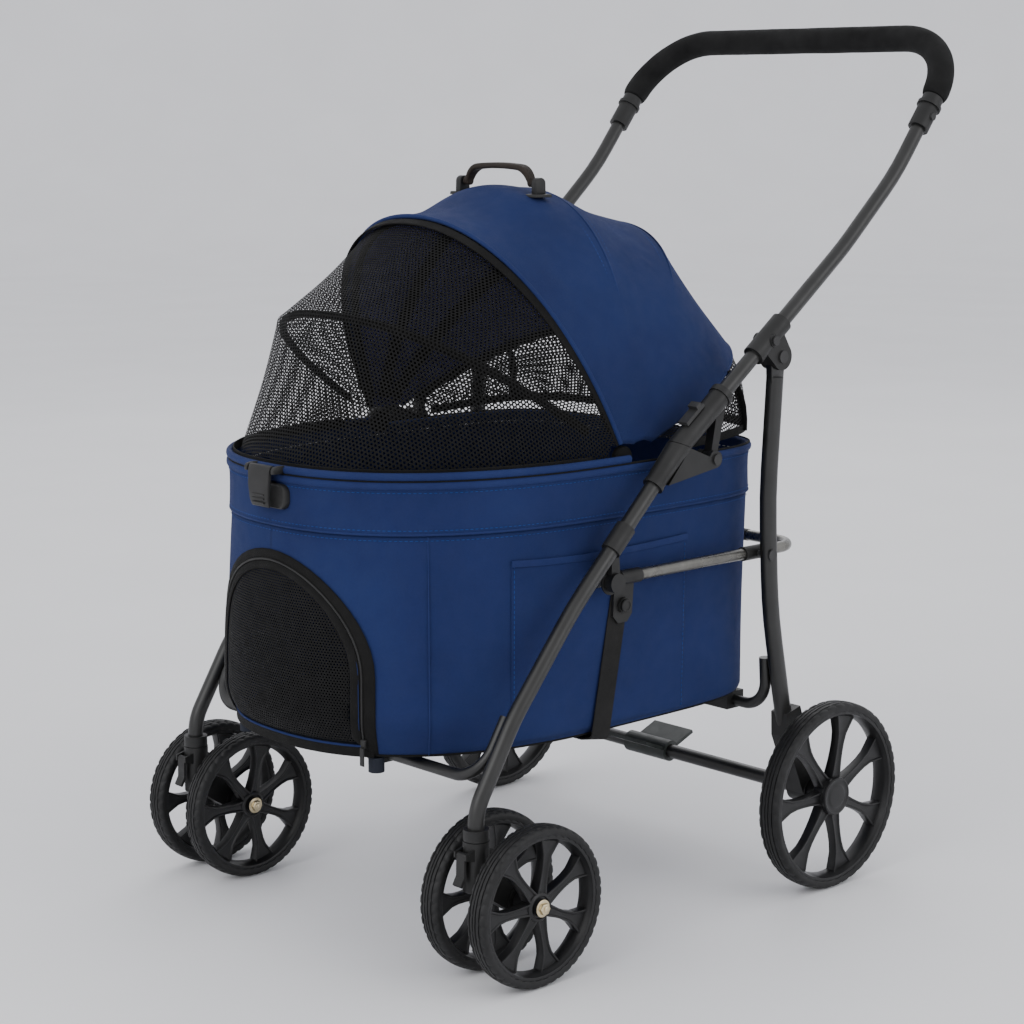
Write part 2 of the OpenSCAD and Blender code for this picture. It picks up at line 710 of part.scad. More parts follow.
// A closed cloth shell between two angles
module gore(a0, a1, rows, inset, t) {
    cols = 26;
    low = 8;
    function grid(g) = [for (i = [0:rows], j = [0:cols])
        canopy_point(a0 + (a1 - a0) * i / rows, 180 - low - (180 - 2 * low) * j / cols, g)];
    row = cols + 1;
    all = (rows + 1) * row;
    edge = concat([for (j = [0:cols - 1]) [j, j + 1]],
        [for (i = [0:rows - 1]) [i * row + cols, (i + 1) * row + cols]],
        [for (j = [cols:-1:1]) [rows * row + j, rows * row + j - 1]],
        [for (i = [rows:-1:1]) [i * row, (i - 1) * row]]);
    polyhedron(concat(grid(inset), grid(inset + t)), concat(
        [for (i = [0:rows - 1], j = [0:cols - 1]) let (p = i * row + j)
            each [[p, p + 1, p + row + 1], [p, p + row + 1, p + row]]],
        [for (i = [0:rows - 1], j = [0:cols - 1]) let (p = all + i * row + j)
            each [[p, p + row + 1, p + 1], [p, p + row, p + row + 1]]],
        [for (e = edge) each [[e[1], e[0], e[0] + all], [e[1], e[0] + all, e[1] + all]]]));
}

// A round bow that follows the canopy at one angle, from pivot to pivot
module bow(a, inset, r, low) {
    rings = 28;
    sides = 8;
    mid = [for (k = [0:rings]) canopy_point(a, low + (180 - 2 * low) * k / rings, inset + r)];
    out = [0, cos(a), sin(a)];
    normal = [0, -sin(a), cos(a)];
    points = [for (k = [0:rings])
        let (d = unit(mid[min(k + 1, rings)] - mid[max(k - 1, 0)]), u = cross(normal, d))
        for (s = [0:sides - 1]) mid[k] + r * (u * cos(s * 360 / sides)
            + normal * sin(s * 360 / sides))];
    polyhedron(points, concat(
        [[for (s = [0:sides - 1]) s]],
        [[for (s = [sides - 1:-1:0]) rings * sides + s]],
        [for (k = [0:rings - 1], s = [0:sides - 1])
            let (p = k * sides + s, q = k * sides + (s + 1) % sides)
            each [[p, p + sides, q + sides], [p, q + sides, q]]]));
}

module hood() color(cloth) from_stem() gore(hood_rear_a, hood_front_a, 9, 0, hood_t);

module rear_mesh() color("#101010") from_stem()
    gore(2, hood_rear_a - 1, 3, 0, 1.5);

// The hood's bows, the pivot bosses and the two loops that hold the carry handle
module hood_bows() color(plastic) from_stem() {
    for (a = [24, 52, 80, 112]) bow(a, hood_t + 0.018 * canopy_w, bow_r, 1.4);
    both_sides() {
        rod([pivot_y, pivot_z], 12, canopy_w - 11, canopy_w - 1);
        difference() {
            translate([54.5, loop_y - 7, loop_z - 12]) cube([8, 14, 18]);
            rod([loop_y, loop_z], 2.5 + run_gap, 50, 70);
        }
    }
}

module carry_handle() color("#2a2622") from_stem() {
    rising([loop_y, loop_z], 90) sweep(u_path(50, -4, 16), [12, 12])
        square([6, 14], center = true);
    both_sides() rod([loop_y, loop_z], 2.5, 49, 62);
}

// The stiff, piped edge of the mesh front, which turns up about the canopy's pivots
module front_ring() color(cloth) from_stem() {
    intersection() {
        band(ring_z, ring_z + ring_h, rim_out, wall_t + rim_out);
        translate([-300, -200, ring_z]) cube([600, pivot_y + 200, ring_h]);
    }
    both_sides() difference() {
        translate([18.6, buckle_hinge.x - 4, ring_z]) cube([5, 12, ring_h]);
        rod(buckle_hinge, 1.5 + run_gap, 10, 30);
    }
}

module mesh_bow() color("#101010") from_stem() bow(mesh_bow_a, 5, bow_r, 8);

module mesh_front() color("#101010") from_stem() gore(hood_front_a + 1, 178, 8, 0, 1.5);

// ---------- parts ----------

rear_leg_left();
rear_leg_right();
rear_axle();
axle_shoes();
rear_cross_tube();
rear_tube_clips();
bar_pivot_pins();
brake_pedal();
rear_tyre_left();
rear_tyre_right();
rear_rim_left();
rear_rim_right();
front_leg_left();
front_leg_right();
front_cross_tube();
caster_collars();
knuckle_sockets();
knuckle_pins();
front_brackets();
caster_fork_left();
caster_fork_right();
caster_bolt_left();
caster_bolt_right();
swivel_lock_left();
swivel_lock_right();
front_tyre_left_outer();
front_tyre_left_inner();
front_tyre_right_inner();
front_tyre_right_outer();
front_rim_left_outer();
front_rim_left_inner();
front_rim_right_inner();
front_rim_right_outer();
handle_tube_left();
handle_tube_right();
handle_hoop();
foam_grip();
hoop_collars();
hub_casings();
hub_rivets();
knuckle_uppers();
hoop_button_left();
hoop_button_right();
fold_latch_left();
fold_latch_right();
side_bar();
bar_fittings();
sling_strap();
basket();
base_board();
front_door();
buckle_base();
buckle_lever();
hood();
hood_bows();
rear_mesh();
carry_handle();
front_ring();
mesh_bow();
mesh_front();
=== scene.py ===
"""Visual model of the folding pet stroller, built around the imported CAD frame.

Everything is in metres in the CAD frame: X across, -Y the front, +Z up. Side outlines
are written as (y, z) with y counted from the caster stems, as in the CAD source.
"""
from bisect import bisect
from math import atan2, ceil, copysign, cos, degrees, exp, hypot, pi, radians, sin, sqrt, tan

import bmesh
import bpy
from mathutils import Matrix, Vector, noise


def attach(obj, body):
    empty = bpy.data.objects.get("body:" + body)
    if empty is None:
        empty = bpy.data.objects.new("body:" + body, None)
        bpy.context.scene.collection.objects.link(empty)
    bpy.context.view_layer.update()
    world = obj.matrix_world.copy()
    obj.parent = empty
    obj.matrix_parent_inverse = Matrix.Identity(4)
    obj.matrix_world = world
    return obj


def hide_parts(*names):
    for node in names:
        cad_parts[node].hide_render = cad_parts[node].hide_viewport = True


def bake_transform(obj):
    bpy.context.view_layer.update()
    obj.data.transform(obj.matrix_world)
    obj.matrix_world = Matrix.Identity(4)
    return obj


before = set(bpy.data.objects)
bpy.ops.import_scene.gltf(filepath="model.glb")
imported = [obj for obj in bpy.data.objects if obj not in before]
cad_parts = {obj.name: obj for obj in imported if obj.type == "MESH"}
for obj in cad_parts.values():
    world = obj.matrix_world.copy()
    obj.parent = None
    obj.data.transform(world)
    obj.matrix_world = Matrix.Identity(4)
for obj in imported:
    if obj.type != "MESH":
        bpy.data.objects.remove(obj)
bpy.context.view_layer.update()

MID_Y = 0.330513          # distance from the caster stems to the frame's origin
MM = 0.001


def at(x, y, z):
    """A point in the frame from millimetres, with y counted from the caster stems."""
    return Vector((x * MM, y * MM - MID_Y, z * MM))


# ---------------------------------------------------------------- materials

def new_material(name, colour, rough, metal=0.0, **sockets):
    m = bpy.data.materials.new(name)
    m.use_nodes = True
    shader = m.node_tree.nodes["Principled BSDF"]
    shader.inputs["Base Color"].default_value = (*colour, 1)
    shader.inputs["Roughness"].default_value = rough
    shader.inputs["Metallic"].default_value = metal
    for key, value in sockets.items():
        shader.inputs[key.replace("_", " ")].default_value = value
    return m


class Nodes:
    """Short calls for wiring one material's nodes."""

    def __init__(self, m):
        self.tree = m.node_tree
        self.shader = self.tree.nodes["Principled BSDF"]
        self.coords = self.tree.nodes.new("ShaderNodeTexCoord")

    def link(self, a, b):
        self.tree.links.new(a, b)

    def noise(self, scale, detail=2.0, rough=0.5, space="Object"):
        n = self.tree.nodes.new("ShaderNodeTexNoise")
        n.inputs["Scale"].default_value = scale
        n.inputs["Detail"].default_value = detail
        n.inputs["Roughness"].default_value = rough
        self.link(self.coords.outputs[space], n.inputs["Vector"])
        return n.outputs["Fac"]

    def math(self, op, a, b=None, c=None):
        n = self.tree.nodes.new("ShaderNodeMath")
        n.operation = op
        for socket, value in zip(n.inputs, (a, b, c)):
            if value is None:
                continue
            if isinstance(value, (int, float)):
                socket.default_value = value
            else:
                self.link(value, socket)
        return n.outputs[0]

    def uv(self):
        n = self.tree.nodes.new("ShaderNodeSeparateXYZ")
        self.link(self.coords.outputs["UV"], n.inputs[0])
        return n.outputs[0], n.outputs[1]

    def span(self, fac, low, high, from_low=0.3, from_high=0.7):
        n = self.tree.nodes.new("ShaderNodeMapRange")
        self.link(fac, n.inputs["Value"])
        for key, value in (("From Min", from_low), ("From Max", from_high),
                           ("To Min", low), ("To Max", high)):
            n.inputs[key].default_value = value
        return n.outputs["Result"]

    def tint(self, fac, dark, light):
        n = self.tree.nodes.new("ShaderNodeMix")
        n.data_type = "RGBA"
        self.link(fac, n.inputs["Factor"])
        n.inputs["A"].default_value = (*dark, 1)
        n.inputs["B"].default_value = (*light, 1)
        self.link(n.outputs["Result"], self.shader.inputs["Base Color"])

    def rough(self, fac, low, high):
        self.link(self.span(fac, low, high), self.shader.inputs["Roughness"])

    def bump(self, height, distance, strength=1.0, base=None):
        n = self.tree.nodes.new("ShaderNodeBump")
        n.inputs["Distance"].default_value = distance
        n.inputs["Strength"].default_value = strength
        self.link(height, n.inputs["Height"])
        if base is not None:
            self.link(base, n.inputs["Normal"])
        self.link(n.outputs["Normal"], self.shader.inputs["Normal"])
        return n.outputs["Normal"]


def moulded(name, colour, rough, grain=900, depth=0.00006, light=1.5, gloss=0.34, **sockets):
    """Moulded plastic or rubber: fine grain, slight colour and gloss variation."""
    m = new_material(name, colour, rough, Specular_IOR_Level=gloss, **sockets)
    n = Nodes(m)
    wide = n.noise(28, 3)
    n.tint(n.span(wide, 0, 1), [c * 0.8 for c in colour], [c * light for c in colour])
    n.rough(n.noise(60, 4), rough - 0.07, rough + 0.09)
    n.bump(n.noise(grain, 2), depth)
    return m


def powder_coat(name, colour, rough, metal):
    """Painted or plated steel tube: orange peel and faint rubbed marks."""
    m = new_material(name, colour, rough, metal, Coat_Weight=0.12, Coat_Roughness=0.28)
    n = Nodes(m)
    n.tint(n.span(n.noise(40, 4, 0.6), 0, 1), [c * 0.75 for c in colour],
           [c * 1.45 for c in colour])
    n.rough(n.noise(18, 5, 0.65), rough - 0.06, rough + 0.12)
    n.bump(n.noise(700, 2), 0.00004)
    return m


def woven(name, dark, light, pitch=0.0011, depth=0.00012, rough=0.80, sheen=0.02):
    """Plain-weave cloth whose threads follow the piece's own UV map, in metres."""
    m = new_material(name, light, rough, Sheen_Weight=sheen, Sheen_Roughness=0.45,
                     Specular_IOR_Level=0.16)
    m.node_tree.nodes["Principled BSDF"].inputs["Sheen Tint"].default_value = (
        *[min(1, 0.25 + 2 * c) for c in light], 1)
    n = Nodes(m)
    u, v = n.uv()
    warp = n.math("SINE", n.math("MULTIPLY", u, 2 * pi / pitch))
    weft = n.math("SINE", n.math("MULTIPLY", v, 2 * pi / pitch))
    cross = n.math("MULTIPLY", warp, weft)
    slub = n.noise(420, 3, 0.6)
    wide = n.noise(9, 3, 0.55)
    mixed = n.math("MULTIPLY_ADD", cross, 0.10, n.math("ADD", n.math("MULTIPLY", wide, 0.75),
                                                       n.math("MULTIPLY", slub, 0.30)))
    n.tint(n.span(mixed, 0, 1, 0.30, 0.75), dark, light)
    n.rough(n.noise(70, 3), rough - 0.06, rough + 0.08)
    fold = n.bump(n.noise(26, 3, 0.5), 0.0016, 0.35)
    n.bump(n.math("ADD", cross, slub), depth, 0.8, fold)
    return m


MAT = {
    "frame": powder_coat("frame_paint", (0.0084, 0.0084, 0.0078), 0.36, 0.10),
    "bar": powder_coat("bar_plating", (0.15, 0.147, 0.135), 0.27, 0.9),
    "zinc": powder_coat("zinc_plating", (0.55, 0.47, 0.31), 0.27, 1.0),
    "plastic": moulded("black_plastic", (0.0092, 0.0092, 0.0090), 0.46),
    "pedal": moulded("pedal_plastic", (0.020, 0.024, 0.022), 0.42),
    "button": moulded("button_plastic", (0.022, 0.022, 0.022), 0.38),
    "rim": moulded("rim_plastic", (0.0084, 0.0084, 0.0088), 0.36, 500, 0.00003),
    "tyre": moulded("tyre_rubber", (0.0072, 0.0072, 0.0074), 0.55, 650, 0.00012, 1.8),
    "foam": moulded("grip_foam", (0.0048, 0.0048, 0.0048), 0.88, 1500, 0.00035, 2.0, 0.24),
    "blue": woven("blue_cloth", (0.0086, 0.0170, 0.072), (0.0136, 0.0272, 0.104)),
    "blue_edge": woven("blue_piping", (0.0088, 0.0178, 0.078), (0.0144, 0.0295, 0.114),
                       0.0009, 0.00010, 0.70),
    "binding": woven("black_binding", (0.0036, 0.0036, 0.0036), (0.0100, 0.0098, 0.0095),
                     0.0010, 0.00014, 0.80, 0.04),
    "lining": woven("hood_lining", (0.075, 0.078, 0.215), (0.110, 0.115, 0.300), 0.0012),
    "net": woven("net_thread", (0.0024, 0.0024, 0.0024), (0.0062, 0.0060, 0.0060),
                 0.0008, 0.00006, 0.74, 0.03),
    "webbing": woven("strap_webbing", (0.007, 0.007, 0.007), (0.020, 0.0195, 0.019),
                     0.0016, 0.00022, 0.70, 0.04),
    "grip": woven("handle_cloth", (0.012, 0.010, 0.009), (0.036, 0.027, 0.021),
                  0.0012, 0.00012, 0.55, 0.04),
    "stitch": woven("white_stitch", (0.42, 0.42, 0.42), (0.66, 0.66, 0.65), 0.0006, 0.00005,
                    0.7, 0.0),
    "stitch_blue": woven("blue_stitch", (0.012, 0.045, 0.20), (0.022, 0.075, 0.29), 0.0006,
                         0.00005, 0.7, 0.0),
    "board": woven("board_cover", (0.012, 0.014, 0.020), (0.024, 0.028, 0.040), 0.0016),
}


# ---------------------------------------------------------------- mesh helpers

def mesh_object(name, verts, faces, uvs=None):
    mesh = bpy.data.meshes.new(name)
    mesh.from_pydata([tuple(v) for v in verts], [], faces)
    if uvs is not None:
        layer = mesh.uv_layers.new(name="UVMap")
        for loop in mesh.loops:
            layer.data[loop.index].uv = uvs[loop.vertex_index]
    mesh.validate()
    mesh.update()
    o = bpy.data.objects.new(name, mesh)
    bpy.context.scene.collection.objects.link(o)
    mesh.shade_smooth()
    return o


def apply_modifiers(o):
    bpy.context.view_layer.update()
    result = bpy.data.meshes.new_from_object(
        o.evaluated_get(bpy.context.evaluated_depsgraph_get()))
    o.modifiers.clear()
    o.data = result
    return o


def bevel(o, width, segments=2, angle=35):
    b = o.modifiers.new("bevel", "BEVEL")
    b.width = width * MM
    b.segments = segments
    b.limit_method = "ANGLE"
    b.angle_limit = radians(angle)
    b.use_clamp_overlap = True
    return o


def rounded(o, width, segments=2, angle=35, smooth=35):
    """Bevelled edges, applied, with sharp normals past the smooth angle."""
    return sharp_normals(apply_modifiers(bevel(o, width, segments, angle)), smooth)


def thicken(o, thick, way=-1):
    """Gives a sheet its thickness in mm, against its normals or, at 1, along them."""
    solid = o.modifiers.new("solid", "SOLIDIFY")
    solid.thickness, solid.offset = thick * MM, way
    return apply_modifiers(o)


def sharp_normals(o, angle=35):
    """Smooth shading that stays sharp across edges steeper than the angle."""
    o.data.shade_smooth()
    o.data.set_sharp_from_angle(angle=radians(angle))
    return o


def done(o, mat, body, slot, *replaced):
    o.data.materials.clear()
    o.data.materials.append(MAT[mat])
    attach(o, body)
    if replaced:
        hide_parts(*replaced)
    return o


def join(name, parts):
    """One mesh from several, keeping each part's UVs and sharp edges."""
    ctx = dict(active_object=parts[0], selected_editable_objects=parts,
               selected_objects=parts)
    if len(parts) > 1:
        with bpy.context.temp_override(**ctx):
            bpy.ops.object.join()
    parts[0].name = name
    parts[0].data.name = name
    return parts[0]


def bridge(rows, closed_rows=False, closed_cols=False):
    """Quads over a grid of rows by columns."""
    n, m = len(rows), len(rows[0])
    return [(i * m + j, i * m + (j + 1) % m, (i + 1) % n * m + (j + 1) % m, (i + 1) % n * m + j)
            for i in range(n if closed_rows else n - 1)
            for j in range(m if closed_cols else m - 1)]


def grid(name, rows, closed_cols=False, uvs=None):
    verts = [p for row in rows for p in row]
    if uvs is None:
        uvs = []
        v = 0.0
        for i, row in enumerate(rows):
            if i:
                v += (Vector(row[len(row) // 2]) - Vector(rows[i - 1][len(row) // 2])).length
            u = 0.0
            for j, p in enumerate(row):
                if j:
                    u += (Vector(p) - Vector(row[j - 1])).length
                uvs.append((u, v))
    return mesh_object(name, verts, bridge(rows, False, closed_cols), uvs)


def circle_section(r, sides=20):
    return [(r * cos(2 * pi * k / sides), r * sin(2 * pi * k / sides)) for k in range(sides)]


def oval_section(w, t, corner=None, steps=5):
    """A rounded rectangle w by t."""
    c = min(w, t) / 2 if corner is None else corner
    out = []
    for sx, sy, start in ((1, 1, 0), (-1, 1, 90), (-1, -1, 180), (1, -1, 270)):
        for k in range(steps + 1):
            a = radians(start + 90 * k / steps)
            out.append((sx * (w / 2 - c) + c * cos(a), sy * (t / 2 - c) + c * sin(a)))
    return out


def sweep(name, path, section, closed=False, up=None, scale=None):
    """A tube: section (a, b) in metres along path; a follows up x direction."""
    path = [Vector(p) for p in path]
    n = len(path)
    rings, prev = [], None
    lengths = [0.0]
    for i in range(1, n):
        lengths.append(lengths[-1] + (path[i] - path[i - 1]).length)
    around = [0.0]
    for k in range(1, len(section)):
        around.append(around[-1] + hypot(section[k][0] - section[k - 1][0],
                                         section[k][1] - section[k - 1][1]))
    for i, p in enumerate(path):
        a = path[i - 1] if i or closed else path[0]
        b = path[(i + 1) % n] if i < n - 1 or closed else path[-1]
        d = (b - a).normalized()
        if up is not None:
            hint = Vector(up(p)) if callable(up) else Vector(up)
        else:
            hint = prev if prev is not None else (
                Vector((0, 0, 1)) if abs(d.z) < 0.9 else Vector((1, 0, 0)))
        side = (hint - d * hint.dot(d)).normalized()
        prev = side
        other = d.cross(side)
        s = scale(lengths[i] / lengths[-1]) if scale else 1.0
        rings.append([p + side * (u * s) + other * (v * s) for u, v in section])
    m = len(section)
    verts = [q for ring in rings for q in ring]
    faces = bridge(rings, closed, True)
    if not closed:
        faces += [tuple(reversed(range(m))), tuple(range((n - 1) * m, n * m))]
    uvs = [(lengths[i], around[k]) for i in range(n) for k in range(m)]
    o = mesh_object(name, verts, faces, uvs)
    return sharp_normals(o, 50)


def lathe(name, profile, centre=(0, 0, 0), steps=64, closed=True):
    """Turns a profile of (along, radius) in mm about the X direction through centre."""
    rings = []
    for k in range(steps):
        a = 2 * pi * k / steps
        rings.append([Vector((s, r * cos(a), r * sin(a))) * MM + Vector(centre)
                      for s, r in profile])
    return sharp_normals(mesh_object(name, [p for r in rings for p in r],
                                     bridge(rings, True, closed),
                                     [(k / steps * 0.3, s * MM) for k in range(steps)
                                      for s, r in profile]), 40)


def prism(name, outline, x0, x1):
    """A plate: outline of (y, z) in mm from the caster stems, from x0 to x1."""
    m = len(outline)
    verts = [at(x, y, z) for x in (x0, x1) for y, z in outline]
    faces = [tuple(range(m)), tuple(reversed(range(m, 2 * m)))]
    faces += [(k, m + k, m + (k + 1) % m, (k + 1) % m) for k in range(m)]
    o = mesh_object(name, verts, faces)
    recalc(o)
    return o


def recalc(o):
    bm = bmesh.new()
    bm.from_mesh(o.data)
    bmesh.ops.recalc_face_normals(bm, faces=bm.faces)
    bm.to_mesh(o.data)
    bm.free()


def mirrored(o, name):
    """A copy mirrored about X = 0."""
    c = o.copy()
    c.data = o.data.copy()
    c.name = name
    c.data.name = name
    bpy.context.scene.collection.objects.link(c)
    c.data.transform(Matrix.Scale(-1, 4, (1, 0, 0)))
    c.data.flip_normals()
    return c


def placed(o, centre, way=1):
    """Moves a piece made about the origin to centre, mirrored in X where way is -1."""
    if way < 0:
        o.data.transform(Matrix.Scale(-1, 4, (1, 0, 0)))
        o.data.flip_normals()
    o.data.transform(Matrix.Translation(centre))
    return o


def both(o, mat, body, slot, *replaced):
    """Finishes a +X piece and its mirror; {s} in a name stands for the side."""
    base = o.name
    other = mirrored(o, base + "_left")
    o.name = base + "_right"
    for piece, side in ((o, "right"), (other, "left")):
        done(piece, mat, body.replace("{s}", side), slot,
             *[r.replace("{s}", side) for r in replaced])


# ---------------------------------------------------------------- side outlines

def fillet(points, radii, step=4.0):
    """A flat path with round bends, as dense points."""
    out = [Vector(points[0])]
    for i in range(1, len(points) - 1):
        a, p, b = (Vector(points[k]) for k in (i - 1, i, i + 1))
        d0, d1 = (p - a).normalized(), (b - p).normalized()
        turn = atan2(d0.x * d1.y - d0.y * d1.x, d0.dot(d1))
        if abs(turn) < 1e-4:
            continue
        r = radii[i - 1]
        t = r * tan(abs(turn) / 2)
        start = p - d0 * t
        n = Vector((-d0.y, d0.x)) * (1 if turn > 0 else -1)
        centre = start + n * r
        steps = max(2, ceil(abs(degrees(turn)) / step))
        first = atan2(*(start - centre).yx)
        for k in range(steps + 1):
            ang = first + turn * k / steps
            out.append(centre + Vector((cos(ang), sin(ang))) * r)
    out.append(Vector(points[-1]))
    return out


def dense(points, spacing):
    """The same path with points added along its straights."""
    out = [points[0]]
    for a, b in zip(points, points[1:]):
        n = max(1, int((b - a).length / spacing))
        out += [a + (b - a) * k / n for k in range(1, n + 1)]
    return out


SIDE_X = 228              # from the middle plane to each side's tubes
TUBE_R, BAR_R = 8, 6
BAR_X, BAR_Z, CROSS_X = 211, 370, 214


def side_path(points, radii):
    return [at(SIDE_X, p.x, p.y) for p in dense(fillet(points, radii), 25)]


LEG = [(0, 150), (0, 176), (48, 256), (128, 354), (264, 487.8)]
LEG_BENDS = [55, 200, 400]
HANDLE = [(284, 505.3), (525, 686), (609.5, 761.1), (668, 836)]
HANDLE_BENDS = [400, 300]
REAR_LEG = [(419, 556), (411, 430), (418, 310), (440, 205), (449, 168)]
REAR_BENDS = [500, 500, 250]
HOOP_BASE, HOOP_ANGLE, HOOP_REACH, HOOP_CORNER = (668, 836), radians(52), 91, 82
AXLE, FRONT_AXLE = (481, 102), (46, 80)
FLOOR_Z = 208
RING_Z = 482.5
PIVOT = (232, 486.5)


def on_slope(x, t, base=HOOP_BASE, angle=HOOP_ANGLE):
    """A point t mm up the plane that rises from base at an angle; at first the hoop's."""
    return at(x, base[0] + t * cos(angle), base[1] + t * sin(angle))


def u_bend(half, top, bottom, radius):
    """A U across the object: down from top, round two bends and up again."""
    return dense(fillet([(half, top), (half, bottom), (-half, bottom), (-half, top)],
                        [radius, radius]), 20)


# ---------------------------------------------------------------- camera, floor, light

def make_stage():
    floor = grid("floor", [[Vector((x, y, 0)) for x in (-14, 14)] for y in (-9, 9)])
    wall_turn = [(9 + 2.5 * sin(a), 2.5 - 2.5 * cos(a)) for a in
                 [radians(90 * k / 16) for k in range(17)]]
    wall = grid("backdrop", [[Vector((x, y, z)) for x in (-14, 14)]
                             for y, z in wall_turn + [(11.5, 14)]])
    pale = new_material("pale_floor", (0.84, 0.84, 0.85), 0.8)
    n = Nodes(pale)
    n.tint(n.span(n.noise(2.5, 3), 0, 1), (0.83, 0.83, 0.845), (0.86, 0.86, 0.875))
    n.bump(n.noise(180, 2), 0.0001, 0.3)
    turn = Matrix.Rotation(CAMERA_TURN, 4, "Z")
    for o in (floor, wall):
        o.data.transform(turn)
        o.data.materials.append(pale)


CAMERA_AT = Vector((1.8267, -1.7664, 0.8391))
CAMERA_TURN, CAMERA_DROP = radians(47.16), radians(9.91)


def make_camera():
    data = bpy.data.cameras.new("camera")
    data.lens, data.sensor_width = 82.8, 36
    data.clip_end = 60
    camera = bpy.data.objects.new("camera", data)
    bpy.context.scene.collection.objects.link(camera)
    camera.location = CAMERA_AT
    camera.rotation_euler = (pi / 2 - CAMERA_DROP, 0, CAMERA_TURN)
    bpy.context.scene.camera = camera


def area_light(name, place, target, size, power, colour=(1, 1, 1)):
    data = bpy.data.lights.new(name, "AREA")
    data.shape, data.size, data.energy, data.color = "DISK", size, power, colour
    o = bpy.data.objects.new(name, data)
    bpy.context.scene.collection.objects.link(o)
    o.location = place
    o.rotation_euler = (Vector(target) - Vector(place)).to_track_quat("-Z", "Y").to_euler()
    return o


def make_lights():
    world = bpy.data.worlds.new("studio")
    bpy.context.scene.world = world
    world.use_nodes = True
    world.node_tree.nodes["Background"].inputs[0].default_value = (0.96, 0.965, 1.0, 1)
    world.node_tree.nodes["Background"].inputs[1].default_value = 1.12
    middle = (0, 0, 0.4)
    area_light("key", (0.2, -2.8, 1.9), middle, 2.4, 30)
    area_light("side", (3.4, 0.9, 1.8), middle, 2.4, 26)
    area_light("rim", (-2.4, 2.6, 2.8), middle, 2.0, 20)


make_camera()
make_stage()
make_lights()


# ---------------------------------------------------------------- wheels

def tyre_rings(r, w, steps=180):
    """Rings of a tyre about the X axis: ribs, grooves and shoulder blocks."""
    half = w / 2
    stations = [(-0.80, -9.5), (-0.93, -8.8), (-1.0, -6.6), (-1.0, -4.6), (-0.97, -3.1),
                (-0.90, -2.0), (-0.80, -1.2), (-0.68, -0.8), (-0.60, -0.6), (-0.57, -1.7),
                (-0.50, -1.7), (-0.47, -0.4), (-0.22, -0.05), (-0.19, -1.2), (-0.12, -1.2),
                (-0.09, 0.0)]
    stations += [(-s, d) for s, d in reversed(stations)]
    rings = []
    for k in range(steps):
        a = 2 * pi * k / steps
        ring = []
        for s, d in stations:
            cut = 0.0
            if 0.62 < abs(s) < 0.99 and (k + (2 if s > 0 else 0)) % 4 < 1:
                cut = 1.3
            if 0.2 < abs(s) < 0.5 and (k + (1 if s > 0 else 3)) % 6 < 1:
                cut = 0.8
            rr = r + d - cut
            ring.append(Vector((s * half, rr * cos(a), rr * sin(a))) * MM)
        rings.append(ring)
    return rings


SPOKES = 7
REAR_WHEEL, FRONT_WHEEL = (102, 26), (80, 24)     # radius and width


def make_tyre(name, r, w):
    rings = tyre_rings(r, w)
    n = len(rings[0])
    uvs = [(k * 2 * pi * r * MM / len(rings), j * 0.002)
           for k in range(len(rings)) for j in range(n)]
    o = mesh_object(name, [p for ring in rings for p in ring], bridge(rings, True, True), uvs)
    return sharp_normals(o, 28)


def spoke_ring(name, count, r0, r1, widths, thicks, phase):
    """Flat-sided spokes with a sunken middle, flared where they meet the rim."""
    parts_v, parts_f = [], []
    steps = len(widths) - 1
    for i in range(count):
        a = 2 * pi * (i + phase) / count
        radial, tangent = Vector((0, cos(a), sin(a))), Vector((0, -sin(a), cos(a)))
        rows = []
        for k in range(steps + 1):
            rr = r0 + (r1 - r0) * k / steps
            w, t = widths[k] / 2, thicks[k] / 2
            lip, sink = min(2.0, w * 0.35), 1.6
            section = [(-w, -t), (-w + lip, -t), (-w + lip + 0.8, -t + sink),
                       (w - lip - 0.8, -t + sink), (w - lip, -t), (w, -t),
                       (w, t), (w - lip, t), (w - lip - 0.8, t - sink),
                       (-w + lip + 0.8, t - sink), (-w + lip, t), (-w, t)]
            rows.append([(radial * rr + tangent * x + Vector((1, 0, 0)) * y) * MM
                         for x, y in section])
        base = len(parts_v)
        parts_v += [p for row in rows for p in row]
        parts_f += [tuple(base + q for q in f) for f in bridge(rows, False, True)]
    o = mesh_object(name, parts_v, parts_f)
    recalc(o)
    o.data.shade_flat()
    return rounded(o, 0.5, 2, 30, 30)


def make_rim(name, r, w, hub_r, cap):
    """Rim, spokes and hub about the X axis; cap is the hub's own profile."""
    out = r - 9
    half = w / 2
    ring = lathe(name + "_ring", [
        (-half + 1.6, out), (-half + 1.2, out - 1.2), (-half + 2.0, out - 3.4),
        (-half + 5.0, out - 4.6), (-4, out - 6.6), (4, out - 6.6), (half - 5.0, out - 4.6),
        (half - 2.0, out - 3.4), (half - 1.2, out - 1.2), (half - 1.6, out)], steps=96)
    wide = min(14.5, 2 * (hub_r + 1) * sin(pi / SPOKES) * 1.05)
    spokes = spoke_ring(name + "_spokes", SPOKES, hub_r - 2, out - 4.5,
                        [wide, wide * 0.86, wide * 0.74, wide * 0.70, wide * 0.74,
                         wide * 0.95, wide * 1.5, wide * 2.1],
                        [13, 12, 11, 10.4, 10, 10, 11, 12], 0.5)
    hub = lathe(name + "_hub", cap, steps=56, closed=False)
    return join(name, [ring, spokes, hub])


